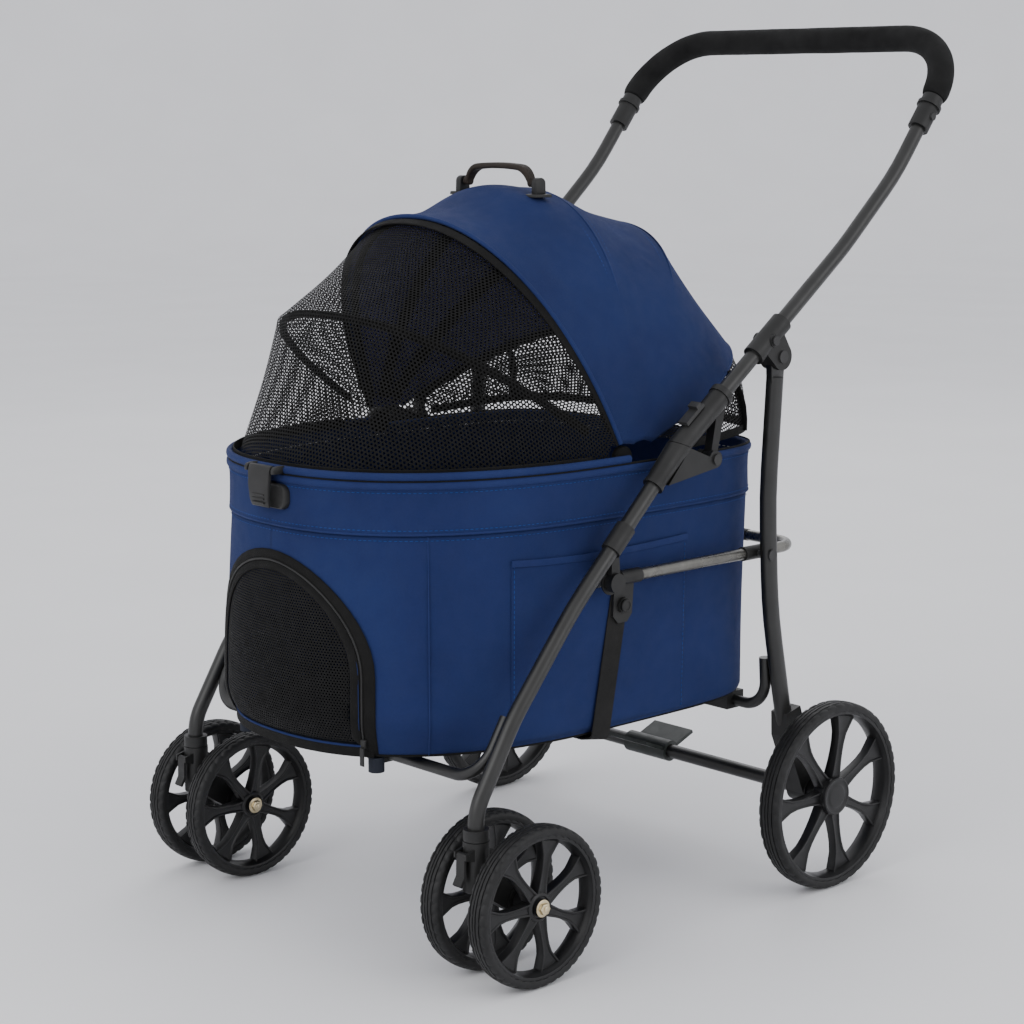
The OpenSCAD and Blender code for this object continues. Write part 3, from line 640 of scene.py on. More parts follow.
def bolt_head(name, centre, r, h, way, washer):
    """A hex nut on a washer, with the end of the bolt showing; way is +1 or -1 along X."""
    z0 = 1.0      # the washer's thickness
    parts = [lathe(name + "_washer", [(0, 0), (0, washer), (0.7, washer), (z0, washer - 0.5),
                                      (z0, 0)], steps=40, closed=False)]
    verts, faces = [], []
    for s, rr in ((z0, r), (z0 + h * 0.82, r), (z0 + h, r * 0.86)):
        verts += [Vector((s, rr * cos(radians(60 * k)), rr * sin(radians(60 * k)))) * MM
                  for k in range(6)]
    verts += [Vector((z0 + h, 0, 0)) * MM]
    for b in (0, 6):
        faces += [(b + k, b + (k + 1) % 6, b + 6 + (k + 1) % 6, b + 6 + k) for k in range(6)]
    faces += [(12 + k, 12 + (k + 1) % 6, 18) for k in range(6)]
    hexa = mesh_object(name + "_nut", verts, faces)
    parts.append(rounded(hexa, 0.35, smooth=30))
    parts.append(lathe(name + "_end", [(z0 + h - 0.2, r * 0.52), (z0 + h + 0.8, r * 0.52),
                                       (z0 + h + 1.3, r * 0.42), (z0 + h + 1.3, 0)],
                       steps=28, closed=False))
    return placed(join(name, parts), centre, way)


FRONT_CAP = [(-21.6, 4.2), (-21.6, 9.5), (-12, 11.6), (-7, 13.8), (-5.5, 14.6), (5.5, 14.6),
             (6.6, 13.6), (7.0, 11.4), (5.4, 10.6), (5.2, 8.4), (8.6, 7.8), (8.8, 4.2)]
REAR_CAP = [(-20.2, 5.2), (-20.2, 13.2), (-12, 15.5), (-6.5, 19.0), (-5.5, 20), (5.5, 20),
            (7, 19.4), (7.6, 20.4), (9.5, 21.0), (11.6, 20.2), (12.0, 18.8), (11.2, 17.6),
            (11.2, 13.2), (11.8, 12.4), (12.0, 11.0), (12.0, 0.0)]


def make_wheels():
    for side, sx in (("left", -1), ("right", 1)):
        body = "rear_wheel_" + side
        centre = at(sx * 262, *AXLE)
        tyre = placed(make_tyre("rear_tyre_rubber_" + side, *REAR_WHEEL), centre, sx)
        done(tyre, "tyre", body, "tyre", "rear_tyre_" + side)
        rim = placed(make_rim("rear_rim_moulding_" + side, *REAR_WHEEL, 18, REAR_CAP),
                          centre, sx)
        done(rim, "rim", body, "rim_plastic", "rear_rim_" + side)
        for place, way in (("outer", 1), ("inner", -1)):
            tag = side + "_" + place
            body = "front_wheel_" + tag
            centre = at(sx * (SIDE_X + way * 34), *FRONT_AXLE)
            tyre = placed(make_tyre("front_tyre_rubber_" + tag, *FRONT_WHEEL), centre, sx * way)
            done(tyre, "tyre", body, "tyre", "front_tyre_" + tag)
            rim = placed(make_rim("front_rim_moulding_" + tag, *FRONT_WHEEL, 13, FRONT_CAP),
                         centre, sx * way)
            done(rim, "rim", body, "rim_plastic", "front_rim_" + tag)
        ends = []
        for way in (1, -1):
            x = sx * SIDE_X + way * 43.7
            ends.append(bolt_head("bolt_end", at(x, *FRONT_AXLE), 6.2, 4.2, way, 8.6))
        shaft = sweep("bolt_shaft", [at(sx * SIDE_X + x, *FRONT_AXLE) for x in (-44, 0, 44)],
                      circle_section(4 * MM))
        done(join("caster_bolt_steel_" + side, ends + [shaft]), "zinc", "caster_" + side,
             "zinc", "caster_bolt_" + side)


make_wheels()


# ---------------------------------------------------------------- frame

def make_tubes():
    leg = sweep("front_leg_tube", side_path(LEG, LEG_BENDS), circle_section(TUBE_R * MM, 28))
    both(leg, "frame", "front_frame", "frame_steel", "front_leg_{s}")
    tube = sweep("handle_side_tube", side_path(HANDLE, HANDLE_BENDS), circle_section(TUBE_R * MM, 28))
    both(tube, "frame", "handle", "frame_steel", "handle_tube_{s}")
    rear = sweep("rear_leg_tube", side_path(REAR_LEG, REAR_BENDS),
                 oval_section(19 * MM, 16 * MM, 7.9 * MM, 6),
                 up=lambda p: Vector((0, 1, 0)))
    lug = prism("rear_leg_lug", [(419 + 11 * cos(radians(a)), 578 + 11 * sin(radians(a)))
                                 for a in range(-10, 191, 12)] + [(410, 548), (428, 548)],
                224, 232)
    both(join("rear_leg_tube", [rear, rounded(lug, 0.8)]), "frame", "rear_frame", "frame_steel",
         "rear_leg_{s}")
    axle = sweep("rear_axle_tube", [at(x, *AXLE) for x in range(-215, 216, 43)],
                 circle_section(TUBE_R * MM, 28))
    done(axle, "frame", "rear_frame", "frame_steel", "rear_axle")
    loop = sweep("rear_cross_loop",
                 [on_slope(p.x, p.y, (431, 198), radians(94))
                  for p in u_bend(CROSS_X, 56, 0, 30)], circle_section(BAR_R * MM, 24))
    done(loop, "frame", "rear_frame", "frame_steel", "rear_cross_tube")
    front = sweep("front_cross_loop",
                  [on_slope(p.x, p.y, (17, 199), radians(58.3))
                   for p in u_bend(CROSS_X, 66, 0, 35)], circle_section(BAR_R * MM, 24))
    pads = []
    for s in (-1, 1):
        pad = prism("front_pad", [(6, 191), (28, 191), (28, 207.7), (6, 207.7)],
                    s * 70 - 14, s * 70 + 14)
        pads.append(rounded(pad, 2.2, 3))
    done(join("front_cross_loop", [front] + pads), "frame", "front_frame", "frame_steel",
         "front_cross_tube")
    hoop = sweep("handle_hoop_tube", [on_slope(p.x, p.y) for p in
                                      u_bend(SIDE_X, 0.6, HOOP_REACH, HOOP_CORNER)],
                 circle_section(TUBE_R * MM, 28))
    done(hoop, "frame", "handle", "frame_steel", "handle_hoop")
    bar = sweep("side_bar_tube", [at(p.x, p.y, BAR_Z) for p in u_bend(BAR_X, 176, 481, 30)],
                circle_section(BAR_R * MM, 28))
    sleeve = sweep("side_bar_sleeve",
                   [at(p.x, p.y, BAR_Z) for p in u_bend(BAR_X, 428, 481, 30)
                    if p.y > 470 and abs(p.x) < 160], circle_section((BAR_R + 0.5) * MM, 28))
    done(bar, "bar", "side_bar_frame", "bar_steel", "side_bar")
    done(sleeve, "plastic", "side_bar_frame", "black_plastic")


def foam_profile(u):
    """The foam thins a little at its two ends."""
    edge = min(u, 1 - u)
    return 0.84 + 0.16 * min(1.0, sqrt(max(0.0, edge) / 0.012)) if edge < 0.012 else 1.0


def make_grip():
    path = dense(fillet([(SIDE_X, 8), (SIDE_X, HOOP_REACH), (-SIDE_X, HOOP_REACH), (-SIDE_X, 8)],
                        [HOOP_CORNER, HOOP_CORNER], 2.5), 3)
    points = [on_slope(p.x, p.y) for p in path]
    grip = sweep("foam_grip_sleeve", points, circle_section(15 * MM, 36), scale=foam_profile)
    for v in grip.data.vertices:
        n = noise.noise(v.co * 34) * 0.5 + noise.noise(v.co * 130) * 0.25
        v.co += v.normal * (n * 0.00055 - 0.0003)
    done(grip, "foam", "handle", "foam", "foam_grip")


def cad(node, mat, width=0.6, segments=2):
    """A CAD node keeps its shape and gets rounded edges and a material."""
    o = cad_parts[node]
    o.data.materials.clear()
    o.data.materials.append(MAT[mat])
    if width:
        bevel(o, width, segments, 40)
    return o


def make_castings():
    for node in ("axle_shoes", "rear_tube_clips", "caster_collars", "knuckle_sockets",
                 "front_brackets", "caster_fork_left", "caster_fork_right", "swivel_lock_left",
                 "swivel_lock_right", "hoop_collars", "hub_casings", "knuckle_uppers",
                 "bar_fittings"):
        cad(node, "plastic", 0.9)
    cad("brake_pedal", "pedal", 0.8)
    for node in ("bar_pivot_pins", "knuckle_pins", "hub_rivets"):
        cad(node, "button", 0.4)
    for node in ("hoop_button_left", "hoop_button_right", "fold_latch_left",
                 "fold_latch_right"):
        cad(node, "button", 0.6)
    cad("base_board", "board", 1.0)


def make_buckle():
    """The clasp at the front: a crowned lever over a rounded plate."""
    lever = prism("lever", [(-70.5, 486), (-71.4, 489.8), (-74, 490.8), (-77.2, 489.6),
                            (-78.8, 484), (-79.6, 470), (-79.0, 456), (-77.0, 449.6),
                            (-75.0, 448.6), (-75.4, 456), (-75.8, 470), (-75.0, 481)], -17, 17)
    for v in lever.data.vertices:
        v.co.x *= 1 - 0.2 * max(0.0, (0.484 - v.co.z) / 0.036) ** 1.5
    parts = [rounded(lever, 1.5, 4)]
    for z in (453.5, 457.5, 461.5):
        parts.append(sweep("rib", [at(x, -79.3 + 0.012 * (470 - z) ** 1.2 * 0.4, z)
                                   for x in range(-9, 10, 3)], circle_section(0.9 * MM, 10)))
    done(join("buckle_clasp", parts), "plastic", "lever", "black_plastic", "buckle_lever")
    outline = oval_section(58, 25, 9, 6)
    rows = [[at(x * f, y, 460 + z * f) for x, z in outline]
            for y, f in ((-61.5, 0.98), (-62, 1), (-67, 1), (-68.6, 0.965), (-69.2, 0.90),
                         (-68.4, 0.80), (-68.4, 0.02))]
    plate = grid("buckle_plate", rows, True)
    recalc(plate)
    done(sharp_normals(plate, 40), "plastic", "carrier", "black_plastic", "buckle_base")


make_tubes()
make_grip()
make_castings()
make_buckle()


# ---------------------------------------------------------------- carrier walls

BASKET_X, BASKET_Y, BASKET_L = 199.5, 200, 262
FRONT_N, REAR_N = 2.3, 6


def wall_inset(z, front=0.0):
    """How far the wall leans in below the top band, in mm; the front swells out instead."""
    f = max(0.0, (432 - z) / 224)
    swell = sin(min(1.0, 1.15 * f) * pi / 2) * sin(min(1.0, max(0.0, (z - 219) / 32)) * pi / 2)
    lean = 3.0 * f ** 1.15 * (1 - front) - 11.0 * front * swell
    return lean + 7.0 * max(0.0, (222 - z) / 14) ** 2.2


def power(v, p):
    """A signed power, for superellipses."""
    return copysign(abs(v) ** p, v)


def outline_point(a):
    n = FRONT_N if sin(a) < 0 else REAR_N
    return Vector((BASKET_X * power(cos(a), 2 / n), BASKET_Y + BASKET_L * power(sin(a), 2 / n)))


def even_outline(count):
    """The basket's outline at equal steps along its length, from the front middle."""
    fine = [outline_point(-pi / 2 + 2 * pi * k / 2880) for k in range(2881)]
    run = [0.0]
    for p, q in zip(fine, fine[1:]):
        run.append(run[-1] + (q - p).length)
    out, j = [], 0
    for i in range(count):
        want = run[-1] * i / count
        j = max(0, bisect(run, want) - 1)
        f = (want - run[j]) / (run[j + 1] - run[j])
        out.append(fine[j].lerp(fine[j + 1], f))
    return out, run[-1]


COLUMNS = 440
OUTLINE, OUTLINE_LENGTH = even_outline(COLUMNS)
NORMALS = [(OUTLINE[(k + 1) % COLUMNS] - OUTLINE[k - 1]).normalized() for k in range(COLUMNS)]
NORMALS = [Vector((along.y, -along.x)) for along in NORMALS]


def wall_point(s, z, off=0.0):
    """A point on the wall: s mm along the outline from the front middle, z mm up."""
    f = (s / OUTLINE_LENGTH * COLUMNS) % COLUMNS
    k = min(int(f), COLUMNS - 1)
    p = OUTLINE[k].lerp(OUTLINE[(k + 1) % COLUMNS], f - k)
    n = NORMALS[k].lerp(NORMALS[(k + 1) % COLUMNS], f - k)
    shift = off - wall_inset(z, frontness(p, n))
    return at(p.x + n.x * shift, p.y + n.y * shift, z)


def frontness(p, n):
    """1 on the front wall, falling to 0 before the side bar."""
    return max(0.0, -n.y) ** 0.6 * min(1.0, max(0.0, (120 - p.y) / 100))


def band_piece(name, levels):
    """A strip all round the basket; levels are (z, off) rows from bottom to top."""
    stations = [OUTLINE_LENGTH * k / COLUMNS for k in range(COLUMNS)]
    rows = [[wall_point(s, z, off) for s in stations] for z, off in levels]
    return grid(name, rows, True, [(s * MM, z * MM) for z, off in levels for s in stations])


def ring_path(z, off, count=COLUMNS):
    return [wall_point(OUTLINE_LENGTH * k / count, z, off) for k in range(count)]


# The door's arch, in mm along the wall from the front middle and up
DOOR_HALF, DOOR_SILL, DOOR_TOP = 106, 218, 396


def s_of_x(x):
    """Distance along the outline at which the front wall reaches x."""
    k = next(i for i in range(COLUMNS) if OUTLINE[i].x >= abs(x))
    f = (abs(x) - OUTLINE[k - 1].x) / (OUTLINE[k].x - OUTLINE[k - 1].x)
    return copysign(OUTLINE_LENGTH / COLUMNS * (k - 1 + f), x)


def arch_points(inset, steps=26):
    """The door's edge as (x, z), from one foot over the top to the other."""
    half = DOOR_HALF - inset
    centre = DOOR_TOP - DOOR_HALF
    out = [(half, DOOR_SILL + inset)]
    for k in range(1, 9):
        out.append((half, DOOR_SILL + inset + (centre - DOOR_SILL - inset) * k / 9))
    out += [(half * cos(pi * k / steps), centre + half * sin(pi * k / steps))
            for k in range(steps + 1)]
    return out + [(-x, z) for x, z in reversed(out[:9])]


def inside_arch(x, z, inset):
    half = DOOR_HALF - inset
    centre = DOOR_TOP - DOOR_HALF
    if z < DOOR_SILL + inset:
        return False
    return abs(x) < half if z < centre else hypot(x, z - centre) < half


def soft_waves(o, size, scale, seed):
    """Gentle unevenness along the normals, for cloth that isn't perfectly taut."""
    shift = Vector((seed * 3.1, seed * 1.7, seed * 2.3))
    moves = [(v, v.normal * (noise.noise(v.co * scale + shift) * size * MM))
             for v in o.data.vertices]
    for v, move in moves:
        v.co += move


def make_basket():
    levels = [(208.4, -60), (208.2, -30), (208.2, -15), (208.6, -6), (209.8, -2.4),
              (212, -0.8), (215, -0.2), (219, 0)]
    levels += [(z, -0.25 - 0.9 * sin(pi * (z - 219) / 212)) for z in range(224, 431, 5)]
    wall = cut_arch(band_piece("basket_wall", levels), 3, -0.6)
    soft_waves(wall, 0.9, 7, 1)
    thicken(wall, 1.6)
    done(wall, "blue", "carrier", "blue_cloth", "basket")
    floor = grid("basket_floor", [[at(0, BASKET_Y, 208.6) + (wall_point(
        OUTLINE_LENGTH * k / 220, 208.4, -58) - at(0, BASKET_Y, 208.4)) * f
        for k in range(221)] for f in (0.02, 0.3, 0.6, 0.8, 1.0)])
    done(floor, "blue", "carrier", "blue_cloth")
    band = band_piece("basket_top_band", [(430.2, -1.4), (429.6, 0.2), (430.2, 1.5), (432.5, 2.1),
                                          (437, 2.2), (445, 1.9), (455, 1.7), (465, 1.8),
                                          (471, 2.2), (474.5, 2.4)])
    soft_waves(band, 0.4, 9, 2)
    done(band, "blue", "carrier", "blue_cloth")
    seam = sweep("basket_band_piping", ring_path(430.6, 1.5), circle_section(1.5 * MM, 10),
                 closed=True, up=(0, 0, 1))
    done(seam, "blue_edge", "carrier", "blue_cloth")
    lower = sweep("basket_bottom_piping", ring_path(211.2, -1.0),
                  circle_section(1.5 * MM, 10), closed=True, up=(0, 0, 1))
    done(lower, "binding", "carrier", "black_binding")
    rim = sweep("basket_rim_piping", ring_path(477.6, 1.2),
                oval_section(8.6 * MM, 7.4 * MM, 3.6 * MM), closed=True, up=(0, 0, 1))
    done(rim, "blue_edge", "carrier", "blue_cloth")
    lining = band_piece("basket_lining", [(z, -4.6) for z in range(222, 476, 12)] + [(478, -3.4)])
    done(cut_arch(lining, 6, -4.6), "blue", "carrier", "blue_cloth")
    zipper = band_piece("canopy_zip_tape", [(480.6, 1.6), (481.4, 3.4), (482.6, 3.6), (483.4, 1.8)])
    done(zipper, "binding", "carrier", "black_binding")


def on_arch(x, z, inset):
    """The point of the arch beside the point (x, z)."""
    half, centre, sill = DOOR_HALF - inset, DOOR_TOP - DOOR_HALF, DOOR_SILL + inset
    if z > centre:
        f = half / hypot(x, z - centre)
        return x * f, centre + (z - centre) * f
    if z < sill + 3 and abs(x) < half - 4:
        return x, sill
    return copysign(half, x), max(z, sill)


def cut_arch(o, inset, off):
    """Opens a wall piece inside the door's arch and draws the cut's edge onto the arch."""
    bm = bmesh.new()
    bm.from_mesh(o.data)
    gone = []
    for f in bm.faces:
        c = f.calc_center_median()
        if c.y < -0.20 and inside_arch(c.x / MM, c.z / MM, inset):
            gone.append(f)
    rim = {v for f in gone for v in f.verts if any(g not in gone for g in v.link_faces)}
    bmesh.ops.delete(bm, geom=gone, context="FACES")
    for v in rim:
        x, z = on_arch(v.co.x / MM, v.co.z / MM, inset)
        v.co = wall_point(s_of_x(x), z, off)
    bm.to_mesh(o.data)
    bm.free()
    return o


def stitches(name, points, length, gap, r, off=None):
    """Rows of short thread dashes along a path of points, every one a small capsule."""
    verts, faces, uvs = [], [], []
    run = [0.0]
    for a, b in zip(points, points[1:]):
        run.append(run[-1] + (b - a).length)

    def place(d):
        j = min(max(0, bisect(run, d) - 1), len(points) - 2)
        f = (d - run[j]) / max(1e-9, run[j + 1] - run[j])
        return points[j].lerp(points[j + 1], f)

    d = gap
    while d + length < run[-1]:
        a, b = place(d), place(d + length)
        t = (b - a).normalized()
        hint = Vector((0, 0, 1)) if abs(t.z) < 0.8 else Vector((0, 1, 0))
        u = (hint - t * hint.dot(t)).normalized()
        w = t.cross(u)
        base = len(verts)
        for f, s in ((0, 0.35), (0.25, 1), (0.75, 1), (1, 0.35)):
            c = a.lerp(b, f)
            for k in range(6):
                ang = pi * k / 3
                verts.append(c + (u * cos(ang) + w * sin(ang)) * (r * s))
                uvs.append((f * length, k * 0.0004))
        for i in range(3):
            faces += [(base + i * 6 + k, base + i * 6 + (k + 1) % 6,
                       base + i * 6 + 6 + (k + 1) % 6, base + i * 6 + 6 + k) for k in range(6)]
        faces += [tuple(base + k for k in reversed(range(6))),
                  tuple(base + 18 + k for k in range(6))]
        d += length + gap
    o = mesh_object(name, verts, faces, uvs)
    recalc(o)
    return o


def arch_path(inset, off):
    return [wall_point(s_of_x(x), z, off) for x, z in arch_points(inset)]


def ribbon(name, inset0, inset1, off, rise, mat, body, slot, steps=6):
    """Tape that follows the door's arch between two insets, domed by rise."""
    rows = []
    for k in range(steps + 1):
        f = k / steps
        dome = off + rise * sin(pi * (0.08 + 0.84 * f))
        rows.append(arch_path(inset0 + (inset1 - inset0) * f, dome))
    o = grid(name, rows)
    done(thicken(o, 0.9), mat, body, slot)


def net_mesh(name, place, cells, hole):
    """A net of hexagons with real holes: cells are (u, v, half width, half height)."""
    verts, faces, uvs, seen = [], [], [], {}

    def vert(u, v):
        key = (round(u * 50), round(v * 50))
        if key not in seen:
            seen[key] = len(verts)
            verts.append(place(u, v))
            uvs.append((u * MM, v * MM))
        return seen[key]

    for u, v, rx, ry in cells:
        outer, inner = [], []
        for k in range(6):
            a = radians(60 * k + 30)
            outer.append(vert(u + rx * cos(a), v + ry * sin(a)))
            inner.append(len(verts))
            verts.append(place(u + rx * hole * cos(a), v + ry * hole * sin(a)))
            uvs.append(((u + rx * hole * cos(a)) * MM, (v + ry * hole * sin(a)) * MM))
        faces += [(outer[k], outer[(k + 1) % 6], inner[(k + 1) % 6], inner[k])
                  for k in range(6)]
    o = mesh_object(name, verts, faces, uvs)
    recalc(o)
    return o


def hex_cells(u0, u1, v0, v1, pitch, squash, keep):
    """Centres of a staggered net: pitch along u, rows squash times as tall."""
    rx = pitch / sqrt(3)
    ry = rx * squash
    out = []
    rows = int((v1 - v0) / (ry * 1.5)) + 2
    cols = int((u1 - u0) / pitch) + 2
    for j in range(rows):
        v = v0 + j * ry * 1.5
        for i in range(cols):
            u = u0 + (i + 0.5 * (j % 2)) * pitch
            if keep(u, v):
                out.append((u, v, rx, ry))
    return out


def make_door():
    limit = s_of_x(DOOR_HALF - 4)

    def keep(s, z):
        x = wall_point(s, z).x / MM
        return inside_arch(x, z, 7)

    cells = hex_cells(-limit, limit, DOOR_SILL, DOOR_TOP, 3.3, 0.95, keep)
    net = net_mesh("door_net", lambda s, z: wall_point(s, z, -1.0), cells, 0.46)
    done(net, "net", "door", "black_mesh", "front_door")
    ribbon("door_binding", 1.6, 10.5, -0.2, 1.5, "binding", "door", "black_mesh")
    ribbon("door_zip_tape", -9.5, 0.6, 0.1, 1.3, "binding", "carrier", "black_binding")
    coil = sweep("door_zip_coil", arch_path(0.9, 0.9), circle_section(1.1 * MM, 10))
    done(coil, "plastic", "carrier", "black_plastic")
    low = [wall_point(s_of_x(x), DOOR_SILL - 3.5, 0.6) for x in range(-112, 113, 4)]
    sill = sweep("door_sill_binding", low, oval_section(10 * MM, 2.4 * MM, 1.1 * MM),
                 up=(0, 0, 1))
    done(sill, "binding", "carrier", "black_binding")
    # The zip's slider and pull, at the right foot of the arch
    foot = wall_point(s_of_x(105), DOOR_SILL + 7, 2.6)
    slider = mesh_object("zip_slider", [foot + Vector(p) * MM for p in (
        (-3, -1.6, -5), (3, -1.6, -5), (3.6, -1.6, 4), (-3.6, -1.6, 4),
        (-3, 1.6, -5), (3, 1.6, -5), (3.6, 1.6, 4), (-3.6, 1.6, 4))],
        [(0, 1, 2, 3), (7, 6, 5, 4), (0, 4, 5, 1), (1, 5, 6, 2), (2, 6, 7, 3), (3, 7, 4, 0)])
    recalc(slider)
    pull = sweep("zip_pull", [foot + Vector((0.8, -2.6, z)) * MM for z in (-4, -9, -16, -22)],
                 oval_section(6 * MM, 1.6 * MM, 0.7 * MM), up=(1, 0, 0))
    done(join("door_zip_slider", [rounded(slider, 0.9, 3, smooth=40), pull]), "plastic", "carrier",
         "black_plastic")


def side_s(y):
    """Distance along the outline at which the near side wall reaches y."""
    nearest = min(range(COLUMNS // 2), key=lambda k: abs(OUTLINE[k].y - y))
    return OUTLINE_LENGTH * nearest / COLUMNS


def make_pocket():
    """The flat pocket on each side, with its bound top edge and stitched sides."""
    s0, s1 = side_s(86), side_s(320)
    count = 60
    zs = [215 + k * 6 for k in range(31)]

    def tops(f):
        return 397 - 3 * sin(pi * f)

    for sx, tag in ((1, "right"), (-1, "left")):
        rows = []
        for i, z in enumerate(zs):
            row = []
            for j in range(count + 1):
                f = j / count
                zz = min(z, tops(f)) if i < len(zs) - 1 else tops(f)
                puff = 1.4 * (sin(pi * f) ** 0.35) * min(1.0, (zz - 209) / 20)
                row.append(wall_point(sx * (s0 + (s1 - s0) * f), zz, 0.15 + puff))
            rows.append(row)
        o = grid("side_pocket_" + tag, rows)
        if sx < 0:
            o.data.flip_normals()
        soft_waves(o, 0.5, 12, 5 + sx)
        done(thicken(o, 0.8), "blue", "carrier", "blue_cloth")
        edge = sweep("pocket_edge_" + tag,
                     [wall_point(sx * (s0 + (s1 - s0) * j / count), tops(j / count), 1.4)
                      for j in range(count + 1)],
                     oval_section(7 * MM, 1.5 * MM, 0.7 * MM), up=(0, 0, 1))
        done(edge, "blue_edge", "carrier", "blue_cloth")
        lines = []
        for s in (s0 + 3, s1 - 3):
            path = [wall_point(sx * s, z, 0.9) for z in range(216, 399, 4)]
            lines.append(stitches("pocket_line", path, 0.0034, 0.0016, 0.00035))
        done(join("pocket_stitches_" + tag, lines), "stitch_blue", "carrier", "blue_cloth")


def make_seams():
    """Rows of stitching on the wall and the white stitches inside the rim."""
    rows = []
    for z, off, length, gap in ((424.5, 0.5, 0.0034, 0.0016), (471.0, 2.6, 0.0034, 0.0016),
                                (434.6, 2.4, 0.0034, 0.0016)):
        path = [wall_point(OUTLINE_LENGTH * k / 880, z, off) for k in range(881)]
        rows.append(stitches("row", path, length, gap, 0.00032))
    done(join("wall_stitches", rows), "stitch_blue", "carrier", "blue_cloth")
    inner = [wall_point(OUTLINE_LENGTH * k / 880, 470, -5.0) for k in range(881)]
    white = stitches("rim_stitches", inner, 0.0052, 0.0030, 0.00055)
    done(white, "stitch", "carrier", "blue_cloth")
    # Vertical panel seams, two at the front and two behind
    lines = []
    for s in (s_of_x(150), -s_of_x(150), OUTLINE_LENGTH / 2 - 150, -OUTLINE_LENGTH / 2 + 150):
        lines.append(sweep("seam", [wall_point(s, z, 0.1) for z in range(212, 431, 6)],
                           oval_section(1.6 * MM, 0.9 * MM, 0.4 * MM),
                           up=lambda p: Vector((p.y - BASKET_Y * MM + MID_Y, -p.x, 0))))
    done(join("panel_seams", lines), "blue_edge", "carrier", "blue_cloth")


make_basket()
make_door()
make_pocket()
make_seams()


# ---------------------------------------------------------------- canopy

CANOPY_W = 195.5
CANOPY_R = [(0, 227), (22, 272), (52, 283), (80, 266), (115, 262), (147, 272), (180, 290)]
CANOPY_N = [(0, 6), (22, 3.0), (52, 2.1), (80, 2.05), (115, 2.15), (147, 2.4), (180, 2.3)]
BOWS = [22, 52, 80, 115, 147, 180]


def lookup(x, table):
    if x <= table[0][0]:
        return table[0][1]
    for (a, u), (b, v) in zip(table, table[1:]):
        if x <= b:
            return u + (v - u) * (x - a) / (b - a)
    return table[-1][1]


def canopy_height(a, t):
    n = lookup(a, CANOPY_N)
    return lookup(a, CANOPY_R) * max(0.0, sin(t)) ** (2 / n)


def sag(a, t):
    """How far the cloth hangs in between its bows."""
    for low, high in zip(BOWS, BOWS[1:]):
        if low < a < high:
            f = (a - low) / (high - low)
            depth = (high - low) * 0.50
            held = exp(-((a - 89) / 11) ** 2 - (cos(t) / 0.5) ** 4)   # by the carry handle
            return depth * (sin(pi * f) ** 0.85) * sin(t) ** 1.2 * (1 - held)
    return 0.0


def canopy(a, t, inset=0.0, sagging=True):
    """A point of the canopy: a in degrees about the pivots, t from pivot to pivot."""
    n = lookup(a, CANOPY_N)
    h = canopy_height(a, t) - inset * sin(t) ** 0.5 - (sag(a, t) if sagging else 0)
    x = (CANOPY_W - inset) * power(cos(t), 2 / n)
    return at(x, PIVOT[0] + h * cos(radians(a)), PIVOT[1] + h * sin(radians(a)))


def even_t(a, count, low=3.0):
    """Values of t at about equal steps along the bow at angle a."""
    fine = [radians(low + (180 - 2 * low) * k / 600) for k in range(601)]
    pts = [canopy(a, t, 0, False) for t in fine]
    run = [0.0]
    for p, q in zip(pts, pts[1:]):
        run.append(run[-1] + (q - p).length)
    out = []
    for i in range(count + 1):
        want = run[-1] * i / count
        j = min(max(0, bisect(run, want) - 1), 599)
        f = (want - run[j]) / max(1e-9, run[j + 1] - run[j])
        out.append(fine[j] + (fine[j + 1] - fine[j]) * f)
    return out, run[-1] / MM


def bow_path(a, inset, count=110, low=3.0):
    return [canopy(a, t, inset, False) for t in even_t(a, count, low)[0]]


def bow_up(a):
    """The direction across a bow's band, square to its plane."""
    return Vector((0, -sin(radians(a)), cos(radians(a))))


def canopy_sheet(name, a0, a1, steps, inset, thick, low=3.0, count=120, waves=0.0):
    ts, length = even_t((a0 + a1) / 2, count, low)
    rows = [[canopy(a0 + (a1 - a0) * i / steps, t, inset) for t in ts]
            for i in range(steps + 1)]
    uvs = [(length * MM * j / count, i * (a1 - a0) / steps * 0.0046)
           for i in range(steps + 1) for j in range(count + 1)]
    o = grid(name, rows, uvs=uvs)
    if waves:
        soft_waves(o, waves, 8, a0 / 10)
    return thicken(o, thick, 1)


